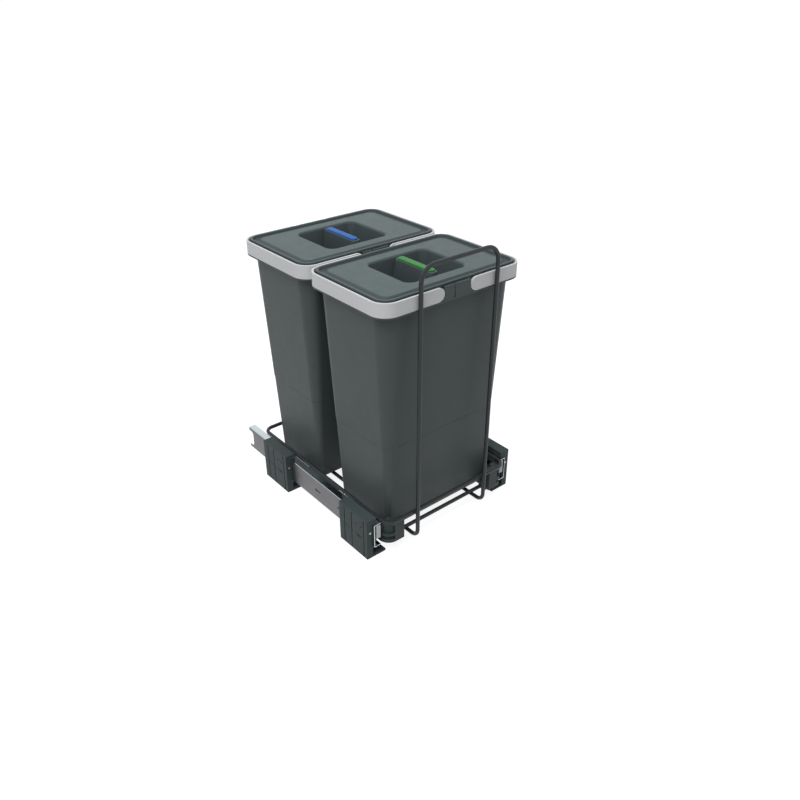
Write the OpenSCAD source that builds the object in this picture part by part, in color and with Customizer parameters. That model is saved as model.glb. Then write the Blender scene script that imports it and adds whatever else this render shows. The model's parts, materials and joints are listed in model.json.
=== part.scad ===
// Pull-out waste bin unit for a base cabinet: two lidded bins, one behind the other, in a wire
// tray that runs on a pair of ball-bearing slides fixed to the cabinet floor by four brackets.
// Frame: +Z up, front faces -Y, origin under the middle of the bounding box on the cabinet floor.
// Inside the modules Y counts from the front face of the front brackets, and X from mid-width.

/* [Brackets] */
// Width over the outer faces of the four floor brackets
unit_w = 334.6; // [320:0.2:400]
// Height of a bracket
bracket_h = 79.4; // [76:0.1:95]
// Length of a bracket along the slide
bracket_l = 76.5; // [64:0.5:90]
// Distance from the front bracket's front face to the rear bracket's front face
bracket_pitch = 243; // [200:1:280]
// Thickness of the bracket wall outboard of the slide
bracket_wall = 12.2; // [9:0.1:16]
// Width of the bracket's top, which covers the slide
bracket_top_w = 20; // [16:0.5:24]
// Width of the floor flange, from the outer face inwards
flange_w = 39; // [34:0.5:44]
// Thickness of the floor flange
flange_t = 4; // [3:0.5:6]

/* [Slides] */
// Length of the outer slide member
slide_len = 400; // [380:5:450]
// Height of the outer slide member
slide_h = 45.2; // [44:0.1:48]
// Height of the slide's middle above the cabinet floor
slide_z = 45.4; // [44:0.1:50]
// Sheet thickness of the slide members
sheet_t = 1.2; // [1:0.1:1.4]
// Radius of a bearing ball
ball_r = 2.38; // [2.2:0.02:2.5]
// Travel of the tray from closed to fully pulled out
travel = 380; // [300:5:380]

/* [Wire tray] */
// Diameter of the wire
wire_d = 7; // [6:0.5:8]
// Distance from a bracket's outer face in to the guard loop's wire centre
loop_side_gap = 29.8; // [29.3:0.1:33]
// Length of the guard loop between wire centres
loop_l = 382; // [376:1:392]
// Height of the guard loop's wire centre
loop_z = 69.2; // [68.6:0.1:74]
// Width of the pull handle between wire centres
handle_w = 156; // [120:0.5:180]
// Height of the pull handle's top wire centre
handle_z = 500.6; // [480:0.2:560]
// Height of the base runners' wire centre
runner_z = 18; // [15:0.1:22]

/* [Bins] */
// Distance from a bracket's outer face in to the bins' carry bails
bin_side_gap = 22.3; // [21.8:0.1:28]
// Depth of a bin over its carry bails, front to back
bin_d = 192.3; // [184:0.1:192.6]
// Height of the bails' top edge above the cabinet floor
rim_z = 457.8; // [400:0.2:480]
// Distance between the two bins' middles
bin_pitch = 196; // [194:0.1:200]
// Wall thickness of a bin
bin_wall = 2.2; // [1.8:0.1:3]
// How far each side of the bin leans out, per millimetre of height
bin_draft = 0.048; // [0.02:0.002:0.06]
// Height of a bail band
band_h = 22.5; // [20:0.5:26]
// Thickness of a bail band
band_t = 3.5; // [2.5:0.1:4]

/* [Lids] */
// Width of the finger pocket
pocket_w = 120; // [90:1:130]
// Length of the finger pocket, front to back
pocket_d = 104; // [80:1:108]
// Depth of the finger pocket
pocket_h = 34; // [24:1:40]
// Width of the coloured grip insert
insert_w = 13; // [8:0.5:13]
// Length of the coloured grip insert
insert_l = 80; // [60:1:82]

/* [Hidden] */
$fn = 48;
// One overrun, for cuts that leave through a face and for bosses sunk into their plate
cut = 1;
// Running clearance of a pin in its hole, on the radius
pin_gap = 0.05;
// Clearance of a fixed screw in its hole, on the radius
screw_gap = 0.05;
// Clearance between a ball and the track it rolls in
track_gap = 0.3;

// Front bracket's and tray's places along Y
rear_bracket_y = bracket_pitch;
slide_front_y = -4;
slide_rear_y = slide_front_y + slide_len;
bin_front_y = 76.2;
bin_rear_y = bin_front_y + bin_pitch;
loop_front_y = -17.5;
loop_w = unit_w - 2 * loop_side_gap;
loop_rear_y = loop_front_y + loop_l;
wire_r = wire_d / 2;
handle_y = loop_front_y - wire_d;
mid_y = (handle_y - wire_r + slide_rear_y) / 2;

// Slide section, counted inwards from the outer member's web
slide_w = 13.8;
slide_half_h = slide_h / 2;
track_depth = 0.38;
track_r = ball_r + track_gap;
outer_ball_z = slide_half_h - sheet_t - track_r + track_depth;
mid_half_h = outer_ball_z - track_r + track_depth;
inner_ball_z = mid_half_h - sheet_t - track_r + track_depth;
inner_half_h = inner_ball_z - track_r + track_depth;
outer_ball_x = 7.2;
inner_ball_x = 8.8;
mid_x = 2.9;
mid_w = 8.7;
inner_x = 6.2;
inner_w = 7.2;
cage_t = 0.6;
strip_t = 0.8;
outer_cage_x = 1.75;
inner_cage_x = 4.75;
outer_cage_w = 8.4;
inner_cage_w = 6.6;
cage_spare = 10;
rear_room = 24;
catch_l = 8;
inner_front_y = slide_front_y + catch_l;
inner_len = slide_len - rear_room - catch_l;
// The middle member moves half the travel, and a cage stays inside what still overlaps
cage_len = inner_len - travel / 2 - cage_spare;
cage_mid_y = inner_front_y + inner_len / 2;
balls_row = 8;
ball_pitch = 20;
ball_hole_r = ball_r + 0.04;
web_notch_l = 14;
web_notch_h = 31;
web_notch_r = 7;
stop_l = 8;
stop_h = 24;
stop_w = 11;
web_hole_r = 2.3;
web_hole_ys = [97, 225];
web_slot_y = 160;
web_slot_l = 18;

// Bracket details
shelf_t = 4.8;
shelf_w = bracket_wall + slide_w;
slide_bottom = slide_z - slide_half_h;
slide_top = slide_z + slide_half_h;
groove_w = 2.2;
groove_d = 1.4;
groove_ys = [9, 42, 62];
groove_margin = 3;
cross_groove_z = 39;
cross_groove_h = 1.4;
cross_groove_d = 0.7;
core_r = 1.6;
core_depth = 4;
core_z = 59.5;
core_ys = [16, 30];
core_slot_z = 37;
core_slot_l = 11;
core_slot_y = 22;
core_slot_r = 1.3;
floor_hole_r = 2.25;
floor_hole_x = 30;
floor_hole_ys = [14, bracket_l - 14];
slide_screw_ys = [20, 57];
slide_screw_r = 1.9;
slide_screw_head_r = 3.2;
slide_screw_l = 9;
slide_screw_tip_gap = 1;
lock_screw_r = 1.5;
lock_screw_head_r = 2.3;
lock_screw_head_h = 0.8;
lock_screw_l = 10;
lock_screw_x = 7;
lock_screw_z = 53;

// Wire tray details
loop_r = 16;
handle_r = 25;
foot_r = 15;
cross_z = runner_z + wire_d;
front_cross_y = 3.2;
cross_end_gap = 25.5;
cross_l = loop_w - 2 * cross_end_gap;
carry_offset = 36;
runner_rear_y = loop_rear_y - wire_d;
guard_z = 47;

// Plastic supports that join the tray to the inner slide members
support_out = 1.5;
support_x = loop_w / 2 + support_out;
support_front_y = -17;
support_bottom = 25.5;
support_top = loop_z - wire_r;
support_t = 13;
side_t = 4;
support_r = 20;
support_rear_y = 62;
support_arm_l = 38;
support_arm_x = support_x - support_arm_l;
recess_d = 4;
rim_band = 6.5;
rib_low = 39;
rib_h = 5;
recess_high = 60;
recess_l = 18;
recess_end_x = support_x - recess_l;
recess_rear_y = 0;
socket_y = -7;
socket_l = 16;
socket_z = 19.5;
socket_h = 14;
socket_w = 20;
socket_grip = 17;
front_cross_l = 2 * (support_arm_x + socket_grip);
boss_h = 18;
boss_y = 34;
boss_l = 26;
rear_support_y = 121;
rear_support_l = 88;
slot_r = 6.5;
slot_l = 30;
slot_y = 1;
slot_z = 54;
support_screw_r = 2;
support_screw_head_r = 3.8;
support_screw_head_h = 2.4;
front_screw_ys = [40, 54];
rear_screw_ys = [136, 194];
catch_z = 38.4;
catch_h = 25.3;
catch_w = 8;
catch_tongue_l = 12;
catch_tongue_h = 15;
catch_tongue_w = 5;

// Bin details
bin_w = unit_w - 2 * bin_side_gap;
half_w = bin_w / 2;
half_d = bin_d / 2;
band_bottom = rim_z - band_h;
shelf_h = 3;
shelf_bottom = band_bottom - shelf_h;
bin_bottom = cross_z + wire_r;
lean_in = 11.3;
bin_top_r = 27;
bin_cx = half_w - lean_in - bin_top_r;
bin_cy = half_d - lean_in - bin_top_r;
step_z = 205;
step_in = 0.7;
floor_t = 2.5;
foot_h = 3;
rim_r = 28;
rim_gap = 0.5;
rim_in = band_t + rim_gap;
rim_wall = 2.2;
rim_wall_top = rim_z - 5;
filler_top = rim_z - 0.6;
pivot_x = 38;
pivot_z = rim_z - band_h / 2;
pivot_r = 4.5;
pivot_l = 2.85;
boss_gap = 1;
// The round eye stays this far off the shelf, on which the straight band rests
eye_gap = 0.3;
// The photo shows the filler's split a little off the bin's middle
split_x = 6;
split_w = 1.4;
split_d = 1.6;

// Lid details
lid_in = 7;
lid_skirt_t = 2;
rib_w = 4;
rib_top = rim_z + 2;
channel_z = rim_z - 3.5;
channel_t = 2;
panel_in = 20;
panel_z = rim_z + 0.5;
panel_low_r = 15;
panel_lean = 2.5;
panel_t = 2.5;
pocket_r = 13;
pocket_lean = 6;
pocket_wall = 2;
grip_r = 5;
grip_lean = 5;
grip_half_w = 8;
grip_half_l = 43.5;
grip_wall = 2.2;
insert_deep = 4;
insert_proud = 2.7;
insert_soft = 1;

// Moves a piece from the working Y to the part's own frame
module placed() {
    translate([0, -mid_y, 0]) children();
}

// Takes X inwards from a bracket's outer face, on the left (-1) or the right (1)
module on_side(side) {
    mirror([side > 0 ? 1 : 0, 0, 0]) translate([-unit_w / 2, 0, 0]) children();
}

// Mirrors a left-hand piece to the right
module handed(side) {
    mirror([side > 0 ? 1 : 0, 0, 0]) children();
}

// Runs an X-Z outline along Y
module along_y(from, length) {
    translate([0, from + length, 0]) rotate([90, 0, 0]) linear_extrude(length) children();
}

// Round bar or hole along Y, and along X
module rod_y(radius, length) {
    rotate([-90, 0, 0]) cylinder(r = radius, h = length);
}

module rod_x(radius, length) {
    rotate([0, 90, 0]) cylinder(r = radius, h = length);
}

// Plate with rounded corners, centred in plan
module rounded_plate(half_x, half_y, radius, height) {
    linear_extrude(height) rounded_outline(half_x, half_y, radius);
}

module rounded_outline(half_x, half_y, radius) {
    inner_x = half_x - radius;
    inner_y = half_y - radius;
    square([2 * half_x, 2 * inner_y], center = true);
    square([2 * inner_x, 2 * half_y], center = true);
    for (sx = [-1, 1], sy = [-1, 1]) translate([sx * inner_x, sy * inner_y]) circle(r = radius);
}

// Block whose four sides and corner cones lean by the same amount
module drafted_block(cx, cy, r_low, r_high, height) {
    for (sx = [-1, 1], sy = [-1, 1]) {
        translate([sx * cx, sy * cy, 0]) cylinder(r1 = r_low, r2 = r_high, h = height);
    }
    rotate([90, 0, 0]) linear_extrude(2 * cy, center = true) drafted_outline(cx, r_low, r_high, height);
    rotate([90, 0, 90]) linear_extrude(2 * cx, center = true) drafted_outline(cy, r_low, r_high, height);
}

module drafted_outline(c, r_low, r_high, height) {
    polygon([[-c - r_low, 0], [c + r_low, 0], [c + r_high, height], [-c - r_high, height]]);
}

// Section of a bracket: wall, floor flange, shelf under the slide and top over it
module bracket_outline() {
    shelf_bottom_z = slide_bottom - shelf_t;
    polygon([
        [0, 0], [flange_w, 0], [flange_w, flange_t], [bracket_wall, flange_t],
        [bracket_wall, shelf_bottom_z], [shelf_w, shelf_bottom_z], [shelf_w, slide_bottom],
        [bracket_wall, slide_bottom], [bracket_wall, slide_top], [bracket_top_w, slide_top],
        [bracket_top_w, bracket_h], [0, bracket_h]
    ]);
}

module bracket(y0) {
    difference() {
        along_y(y0, bracket_l) bracket_outline();
        for (y = groove_ys) {
            translate([-cut, y0 + y - groove_w / 2, groove_margin])
                cube([groove_d + cut, groove_w, bracket_h - 2 * groove_margin]);
        }
        translate([-cut, y0 + groove_ys[0], cross_groove_z])
            cube([cross_groove_d + cut, bracket_l - groove_ys[0] - groove_margin, cross_groove_h]);
        for (y = core_ys) {
            translate([-cut, y0 + y, core_z]) rod_x(core_r, core_depth + cut);
        }
        translate([-cut, y0 + core_slot_y, core_slot_z]) core_slot();
        for (y = floor_hole_ys) {
            translate([floor_hole_x, y0 + y, -cut]) cylinder(r = floor_hole_r, h = flange_t + 2 * cut);
        }
        for (y = slide_screw_ys) {
            translate([bracket_wall - slide_screw_l, y0 + y, slide_z])
                rod_x(slide_screw_r + screw_gap, slide_screw_l + cut);
        }
        translate([lock_screw_x, y0 - cut, lock_screw_z])
            rod_y(lock_screw_r + screw_gap, lock_screw_l + screw_gap + cut);
    }
}

module core_slot() {
    half_run = core_slot_l / 2 - core_slot_r;
    for (s = [-1, 1]) translate([0, s * half_run, 0]) rod_x(core_slot_r, core_depth + cut);
    translate([0, -half_run, -core_slot_r]) cube([core_depth + cut, 2 * half_run, 2 * core_slot_r]);
}

// A channel open on one side: web at x = 0, lips to the full width
module channel_outline(width, half_h) {
    difference() {
        translate([0, -half_h]) square([width, 2 * half_h]);
        translate([sheet_t, sheet_t - half_h]) square([width, 2 * (half_h - sheet_t)]);
    }
}

// Tracks that the balls run in, above and below the slide's middle
module ball_tracks(ball_x, ball_z) {
    for (s = [-1, 1]) translate([ball_x, s * ball_z]) circle(r = track_r);
}

// Outer slide member, fixed to the brackets
module slide_outer() {
    translate([bracket_wall, 0, slide_z]) difference() {
        along_y(slide_front_y, slide_len) difference() {
            channel_outline(slide_w, slide_half_h);
            ball_tracks(outer_ball_x, outer_ball_z);
        }
        translate([-cut, slide_rear_y - web_notch_l, 0]) web_notch();
        for (y = web_hole_ys) translate([-cut, y, 0]) rod_x(web_hole_r, sheet_t + 2 * cut);
        translate([-cut, web_slot_y, 0]) web_slot();
        for (y0 = [0, rear_bracket_y], y = slide_screw_ys) {
            translate([0, y0 + y, 0]) countersink(screw_gap);
        }
    }
}

module web_notch() {
    inner_h = web_notch_h / 2 - web_notch_r;
    depth = sheet_t + 2 * cut;
    for (s = [-1, 1]) translate([0, web_notch_r, s * inner_h]) rod_x(web_notch_r, depth);
    translate([0, web_notch_r, -web_notch_h / 2]) cube([depth, web_notch_l, web_notch_h]);
    translate([0, 0, -inner_h]) cube([depth, web_notch_r, 2 * inner_h]);
}

module web_slot() {
    half_run = web_slot_l / 2 - web_hole_r;
    depth = sheet_t + 2 * cut;
    for (s = [-1, 1]) translate([0, s * half_run, 0]) rod_x(web_hole_r, depth);
    translate([0, -half_run, -web_hole_r]) cube([depth, 2 * half_run, 2 * web_hole_r]);
}

// Countersunk head that ends flush with the inside of the slide's web
module countersink(gap) {
    rotate([0, 90, 0])
        cylinder(r1 = slide_screw_r + gap, r2 = slide_screw_head_r + gap, h = sheet_t);
}

module slide_screw() {
    translate([bracket_wall, 0, slide_z]) countersink(0);
    length = slide_screw_l - slide_screw_tip_gap;
    translate([bracket_wall - length, 0, slide_z]) rod_x(slide_screw_r, length);
}

module slide_screws() {
    for (y0 = [0, rear_bracket_y], y = slide_screw_ys) translate([0, y0 + y, 0]) slide_screw();
}

module lock_screws() {
    for (y0 = [0, rear_bracket_y]) translate([lock_screw_x, y0, lock_screw_z]) {
        translate([0, -lock_screw_head_h, 0]) rod_y(lock_screw_head_r, lock_screw_head_h);
        rod_y(lock_screw_r, lock_screw_l);
    }
}

module rear_stop() {
    stop_y = inner_front_y + inner_len;
    translate([bracket_wall + sheet_t, stop_y, slide_z - stop_h / 2]) cube([stop_w, stop_l, stop_h]);
}

// Middle slide member, which runs on the outer cage's balls
module slide_middle() {
    translate([bracket_wall + mid_x, 0, slide_z]) along_y(inner_front_y, inner_len) difference() {
        channel_outline(mid_w, mid_half_h);
        ball_tracks(outer_ball_x - mid_x, outer_ball_z);
        ball_tracks(inner_ball_x - mid_x, inner_ball_z);
    }
}

// Inner slide member, which carries the tray
module slide_inner() {
    translate([bracket_wall + inner_x + inner_w, 0, slide_z]) difference() {
        along_y(inner_front_y, inner_len) mirror([1, 0]) difference() {
            channel_outline(inner_w, inner_half_h);
            ball_tracks(inner_x + inner_w - inner_ball_x, inner_ball_z);
        }
        for (y = concat(front_screw_ys, rear_screw_ys)) {
            translate([-sheet_t - cut, y, 0]) rod_x(support_screw_r + screw_gap, sheet_t + 2 * cut);
        }
    }
}

// Cage with a web and two strips; each ball sits in a hole in a strip
module ball_cage(x0, width, ball_x, ball_z) {
    translate([bracket_wall, cage_mid_y - cage_len / 2, slide_z]) difference() {
        union() {
            half_h = ball_z + strip_t / 2;
            translate([x0, 0, -half_h]) cube([cage_t, cage_len, 2 * half_h]);
            for (s = [-1, 1]) {
                translate([x0, 0, s * ball_z - strip_t / 2]) cube([width, cage_len, strip_t]);
            }
        }
        for (s = [-1, 1], k = [0 : balls_row - 1]) {
            translate([ball_x, ball_row_y(k), s * ball_z - strip_t / 2 - cut])
                cylinder(r = ball_hole_r, h = strip_t + 2 * cut);
        }
    }
}

// Place of one ball along the cage
function ball_row_y(k) = cage_len / 2 + (k - (balls_row - 1) / 2) * ball_pitch;

module balls(ball_x, ball_z) {
    translate([bracket_wall + ball_x, cage_mid_y - cage_len / 2, slide_z]) {
        for (s = [-1, 1], k = [0 : balls_row - 1]) {
            translate([0, ball_row_y(k), s * ball_z]) sphere(r = ball_r);
        }
    }
}

module catch_block() {
    web_x = bracket_wall + inner_x + inner_w;
    tongue_x = web_x - sheet_t - catch_tongue_w;
    translate([web_x - catch_w, slide_front_y, catch_z]) cube([catch_w, catch_l, catch_h]);
    translate([tongue_x, inner_front_y - catch_l / 2, slide_z - catch_tongue_h / 2])
        cube([catch_tongue_w, catch_l / 2 + catch_tongue_l, catch_tongue_h]);
}

// Quarter bend of wire in the X-Y plane, from +X to +Y
module wire_bend(bend_r) {
    rotate_extrude(angle = 90) translate([bend_r, 0]) circle(r = wire_r);
}

module guard_loop_wire() {
    half_x = loop_w / 2;
    run_x = half_x - loop_r;
    run_front = loop_front_y + loop_r;
    run_rear = loop_rear_y - loop_r;
    translate([0, 0, loop_z]) {
        for (y = [loop_front_y, loop_rear_y]) translate([-run_x, y, 0]) rod_x(wire_r, 2 * run_x);
        for (s = [-1, 1]) translate([s * half_x, run_front, 0]) rod_y(wire_r, run_rear - run_front);
        translate([run_x, run_rear, 0]) wire_bend(loop_r);
        translate([-run_x, run_rear, 0]) rotate([0, 0, 90]) wire_bend(loop_r);
        translate([-run_x, run_front, 0]) rotate([0, 0, 180]) wire_bend(loop_r);
        translate([run_x, run_front, 0]) rotate([0, 0, 270]) wire_bend(loop_r);
    }
}

// The pull handle is one wire: top bar, two legs, and two base runners that turn up at the back
module handle_half() {
    x = handle_w / 2;
    leg_bottom = runner_z + foot_r;
    translate([0, handle_y, handle_z]) rod_x(wire_r, x - handle_r);
    translate([x - handle_r, handle_y, handle_z - handle_r]) rotate([90, 0, 0]) wire_bend(handle_r);
    translate([x, handle_y, leg_bottom]) cylinder(r = wire_r, h = handle_z - handle_r - leg_bottom);
    translate([x, handle_y + foot_r, leg_bottom]) rotate([0, 90, 0]) rotate([0, 0, 270]) wire_bend(foot_r);
    translate([x, handle_y + foot_r, runner_z]) rod_y(wire_r, runner_rear_y - handle_y - 2 * foot_r);
    translate([x, runner_rear_y - foot_r, leg_bottom]) rotate([0, 90, 0]) wire_bend(foot_r);
    translate([x, runner_rear_y, leg_bottom]) cylinder(r = wire_r, h = loop_z + wire_r - leg_bottom);
}

module handle_wire_pair() {
    for (side = [-1, 1]) handed(-side) handle_half();
}

module cross_wire_set() {
    translate([-front_cross_l / 2, front_cross_y, cross_z]) rod_x(wire_r, front_cross_l);
    for (y = [bin_front_y, bin_rear_y], s = [-1, 1]) {
        translate([-cross_l / 2, y + s * carry_offset, cross_z]) rod_x(wire_r, cross_l);
    }
}

// Front corner in plan: a solid quarter round, a thick front arm and a thin side arm
module corner_outline(inset) {
    outer_x = support_x - inset;
    outer_y = support_front_y + inset;
    corner_r = support_r - inset;
    round_x = -outer_x + corner_r;
    round_y = outer_y + corner_r;
    intersection() {
        translate([round_x, round_y]) circle(r = corner_r);
        translate([-outer_x, outer_y]) square([corner_r, corner_r]);
    }
    translate([round_x, outer_y]) square([-support_arm_x - round_x, support_t - inset]);
    translate([-outer_x, round_y]) square([side_t - min(inset, side_t / 2), support_rear_y - round_y]);
}

// The round of the corner is recessed between its rims, with one rib across
module corner_recess(z0, height) {
    translate([0, 0, z0]) linear_extrude(height) difference() {
        translate([-support_x - cut, support_front_y - cut])
            square([support_x + cut - recess_end_x, recess_rear_y - support_front_y + cut]);
        corner_outline(recess_d);
    }
}

module support_front() {
    web_x = unit_w / 2 - bracket_wall - inner_x - inner_w;
    difference() {
        union() {
            translate([0, 0, support_bottom]) linear_extrude(support_top - support_bottom) corner_outline(0);
            translate([-web_x, boss_y, slide_z - boss_h / 2])
                cube([web_x - support_x + side_t, boss_l, boss_h]);
            translate([-support_arm_x - socket_w, socket_y, socket_z]) cube([socket_w, socket_l, socket_h]);
        }
        corner_recess(support_bottom + rim_band, rib_low - support_bottom - rim_band);
        corner_recess(rib_low + rib_h, recess_high - rib_low - rib_h);
        for (y = front_screw_ys) translate([-web_x - cut, y, slide_z]) {
            rod_x(support_screw_r + screw_gap, side_t + web_x - support_x + 2 * cut);
        }
        translate([-front_cross_l / 2, front_cross_y, cross_z])
            rod_x(wire_r + screw_gap, front_cross_l / 2 - support_arm_x + cut);
        translate([-support_x - cut, slot_y, slot_z]) slot_cut();
    }
}

// Long hole through the side arm of the corner support
module slot_cut() {
    depth = side_t + 2 * cut;
    for (y = [slot_r, slot_l - slot_r]) translate([0, y, 0]) rod_x(slot_r, depth);
    translate([0, slot_r, -slot_r]) cube([depth, slot_l - 2 * slot_r, 2 * slot_r]);
}

module support_rear() {
    web_x = unit_w / 2 - bracket_wall - inner_x - inner_w;
    difference() {
        union() {
            translate([-support_x, rear_support_y, slide_z - boss_h / 2])
                cube([side_t, rear_support_l, support_top - slide_z + boss_h / 2]);
            translate([-web_x, rear_support_y + recess_d, slide_z - boss_h / 2])
                cube([web_x - support_x + cut, rear_support_l - 2 * recess_d, boss_h]);
        }
        for (y = rear_screw_ys) translate([-web_x - cut, y, slide_z]) {
            rod_x(support_screw_r + screw_gap, side_t + web_x - support_x + 2 * cut);
        }
    }
}

module support_screws() {
    web_x = unit_w / 2 - bracket_wall - inner_x - inner_w;
    head_x = support_x - side_t;
    for (y = concat(front_screw_ys, rear_screw_ys)) translate([-web_x - sheet_t, y, slide_z]) {
        rod_x(support_screw_r, web_x + sheet_t - head_x);
        translate([web_x + sheet_t - head_x, 0, 0]) rod_x(support_screw_head_r, support_screw_head_h);
    }
}

// Radius of the bin's corners at a height: the corner middles stay where they are.
// Bins, bails and lids are all built about the bin's own middle in plan.
function corner_at(z) = bin_top_r - bin_draft * (shelf_bottom - z);

module bin_core(inset, bottom, top) {
    step = step_z - inset;
    foot_top = bottom + foot_h;
    foot_r = corner_at(foot_top) - step_in - inset;
    low_r = corner_at(step) - step_in - inset;
    high_r = corner_at(step) - inset;
    top_r = corner_at(top) - inset;
    translate([0, 0, step]) drafted_block(bin_cx, bin_cy, high_r, top_r, top - step);
    translate([0, 0, foot_top]) drafted_block(bin_cx, bin_cy, foot_r, low_r, step - foot_top);
    translate([0, 0, bottom]) drafted_block(bin_cx, bin_cy, foot_r - foot_h, foot_r, foot_h);
}

module rim_plate(inset, z0, height) {
    translate([0, 0, z0]) rounded_plate(half_w - inset, half_d - inset, rim_r - inset, height);
}

module bin_shell() {
    difference() {
        union() {
            bin_core(0, bin_bottom, shelf_bottom);
            rim_plate(0, shelf_bottom, shelf_h);
            rim_plate(rim_in, shelf_bottom, rim_wall_top - shelf_bottom);
            for (s = [-1, 1]) rim_boss(s);
        }
        bin_core(bin_wall, bin_bottom + floor_t, band_bottom + cut);
        rim_plate(rim_in + rim_wall, band_bottom, rim_wall_top);
        for (sx = [-1, 1], sy = [-1, 1]) translate([sx * pivot_x, sy * half_d, pivot_z])
            rotate([sy * 90, 0, 0]) cylinder(r = pivot_r + pin_gap, h = rim_in + rim_wall + cut);
        for (s = [-1, 1]) translate([s * split_x - split_w / 2, s * half_d - split_d, band_bottom])
            cube([split_w, 2 * split_d, band_h]);
    }
}

// Filler between the ends of the two bails, flush with their outside. Its ends follow the round
// eyes below the pivots and stand straight above them, where the turned-up bails pass.
module rim_boss(s) {
    depth = rim_in + rim_wall;
    room_r = band_h / 2 + boss_gap;
    outer_y = s > 0 ? half_d : depth - half_d;
    translate([0, outer_y, 0]) rotate([90, 0, 0]) linear_extrude(depth) difference() {
        translate([-pivot_x, band_bottom]) square([2 * pivot_x, filler_top - band_bottom]);
        for (sx = [-1, 1]) translate([sx * pivot_x, pivot_z]) {
            circle(r = room_r);
            translate([-room_r, 0]) square([2 * room_r, room_r]);
        }
    }
}

// Left-hand bail: a band round one end of the bin with a round eye and a pin at each tip
module bail() {
    difference() {
        rim_plate(0, band_bottom, band_h);
        rim_plate(band_t, band_bottom - cut, band_h + 2 * cut);
        translate([-pivot_x, -half_d - cut, band_bottom - cut])
            cube([half_w + pivot_x + cut, bin_d + 2 * cut, band_h + 2 * cut]);
    }
    for (s = [-1, 1]) translate([-pivot_x, s * half_d, pivot_z]) rotate([s * 90, 0, 0]) {
        cylinder(r = band_h / 2 - eye_gap, h = band_t);
        cylinder(r = pivot_r, h = band_t + pivot_l);
    }
}

module lid() {
    panel_cx = half_w - panel_in - panel_low_r;
    panel_cy = half_d - panel_in - panel_low_r;
    panel_h = panel_z - channel_z;
    difference() {
        union() {
            lid_edge();
            rim_plate(lid_in + lid_skirt_t, channel_z - channel_t, channel_t);
            translate([0, 0, channel_z])
                drafted_block(panel_cx, panel_cy, panel_low_r, panel_low_r - panel_lean, panel_h);
            pocket_block(pocket_wall, panel_z - pocket_h - pocket_wall, pocket_h - panel_h + pocket_wall);
        }
        translate([0, 0, channel_z - channel_t - cut])
            lid_hollow(panel_cx, panel_cy, panel_h + channel_t + cut - panel_t);
        pocket_block(0, panel_z - pocket_h, pocket_h);
        translate([0, 0, panel_z - cut]) rounded_plate(pocket_w / 2, pocket_d / 2, pocket_r, 2 * cut);
    }
    grip();
}

// Rib round the lid's edge and the skirt that stands on the bin's shelf
module lid_edge() {
    difference() {
        rim_plate(lid_in, band_bottom, rib_top - band_bottom);
        rim_plate(lid_in + lid_skirt_t, band_bottom - cut, channel_z - channel_t - band_bottom + cut);
        rim_plate(lid_in + rib_w, channel_z, rib_top - channel_z + cut);
    }
}

// Space under the raised panel, left clear of the pocket's walls
module lid_hollow(cx, cy, height) {
    difference() {
        drafted_block(cx, cy, panel_low_r - panel_t, panel_low_r - panel_lean - panel_t, height);
        rounded_plate(pocket_w / 2 + pocket_wall, pocket_d / 2 + pocket_wall, pocket_r + pocket_wall, height);
    }
}

// The pocket, or the same form grown by a wall
module pocket_block(grow, z0, height) {
    lean = pocket_lean * height / pocket_h;
    translate([0, 0, z0]) drafted_block(pocket_w / 2 - pocket_r, pocket_d / 2 - pocket_r,
        pocket_r - lean + grow, pocket_r + grow, height);
}

// Raised bar across the pocket's floor that a hand closes on
module grip() {
    grip_cx = grip_half_w - grip_r;
    grip_cy = grip_half_l - grip_r;
    difference() {
        translate([0, 0, panel_z - pocket_h - grip_wall])
            drafted_block(grip_cx, grip_cy, grip_r + grip_lean, grip_r, pocket_h + grip_wall);
        translate([0, 0, panel_z - pocket_h - grip_wall - cut])
            drafted_block(grip_cx, grip_cy, grip_r + grip_lean - grip_wall, grip_r - grip_wall,
                pocket_h - insert_deep - grip_wall + cut);
        insert_block(screw_gap, panel_z - insert_deep, insert_deep + cut);
    }
}

module insert_block(gap, z0, height) {
    translate([0, 0, z0])
        rounded_plate(insert_w / 2 + gap, insert_l / 2 + gap, insert_w / 2 - insert_soft, height);
}

module insert() {
    inner_x = insert_w / 2 - insert_soft;
    insert_block(0, panel_z - insert_deep, insert_deep + insert_proud - insert_soft);
    translate([0, 0, panel_z + insert_proud - insert_soft])
        rounded_plate(inner_x, insert_l / 2 - insert_soft, inner_x - insert_soft, insert_soft);
}

// The named pieces, each in its place
module bracket_fl() { color("#3a4143") placed() on_side(-1) bracket(0); }
module bracket_fr() { color("#3a4143") placed() on_side(1) bracket(0); }
module bracket_rl() { color("#3a4143") placed() on_side(-1) bracket(rear_bracket_y); }
module bracket_rr() { color("#3a4143") placed() on_side(1) bracket(rear_bracket_y); }
module slide_outer_l() { color("#b9bcbf") placed() on_side(-1) slide_outer(); }
module slide_outer_r() { color("#b9bcbf") placed() on_side(1) slide_outer(); }
module slide_screws_l() { color("#d0d2d4") placed() on_side(-1) slide_screws(); }
module slide_screws_r() { color("#d0d2d4") placed() on_side(1) slide_screws(); }
module lock_screws_l() { color("#d0d2d4") placed() on_side(-1) lock_screws(); }
module lock_screws_r() { color("#d0d2d4") placed() on_side(1) lock_screws(); }
module rear_stop_l() { color("#202223") placed() on_side(-1) rear_stop(); }
module rear_stop_r() { color("#202223") placed() on_side(1) rear_stop(); }
module outer_cage_l() { color("#8d9194") placed() on_side(-1) outer_cage(); }
module outer_cage_r() { color("#8d9194") placed() on_side(1) outer_cage(); }
module outer_balls_l() { color("#e4e6e8") placed() on_side(-1) balls(outer_ball_x, outer_ball_z); }
module outer_balls_r() { color("#e4e6e8") placed() on_side(1) balls(outer_ball_x, outer_ball_z); }
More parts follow.
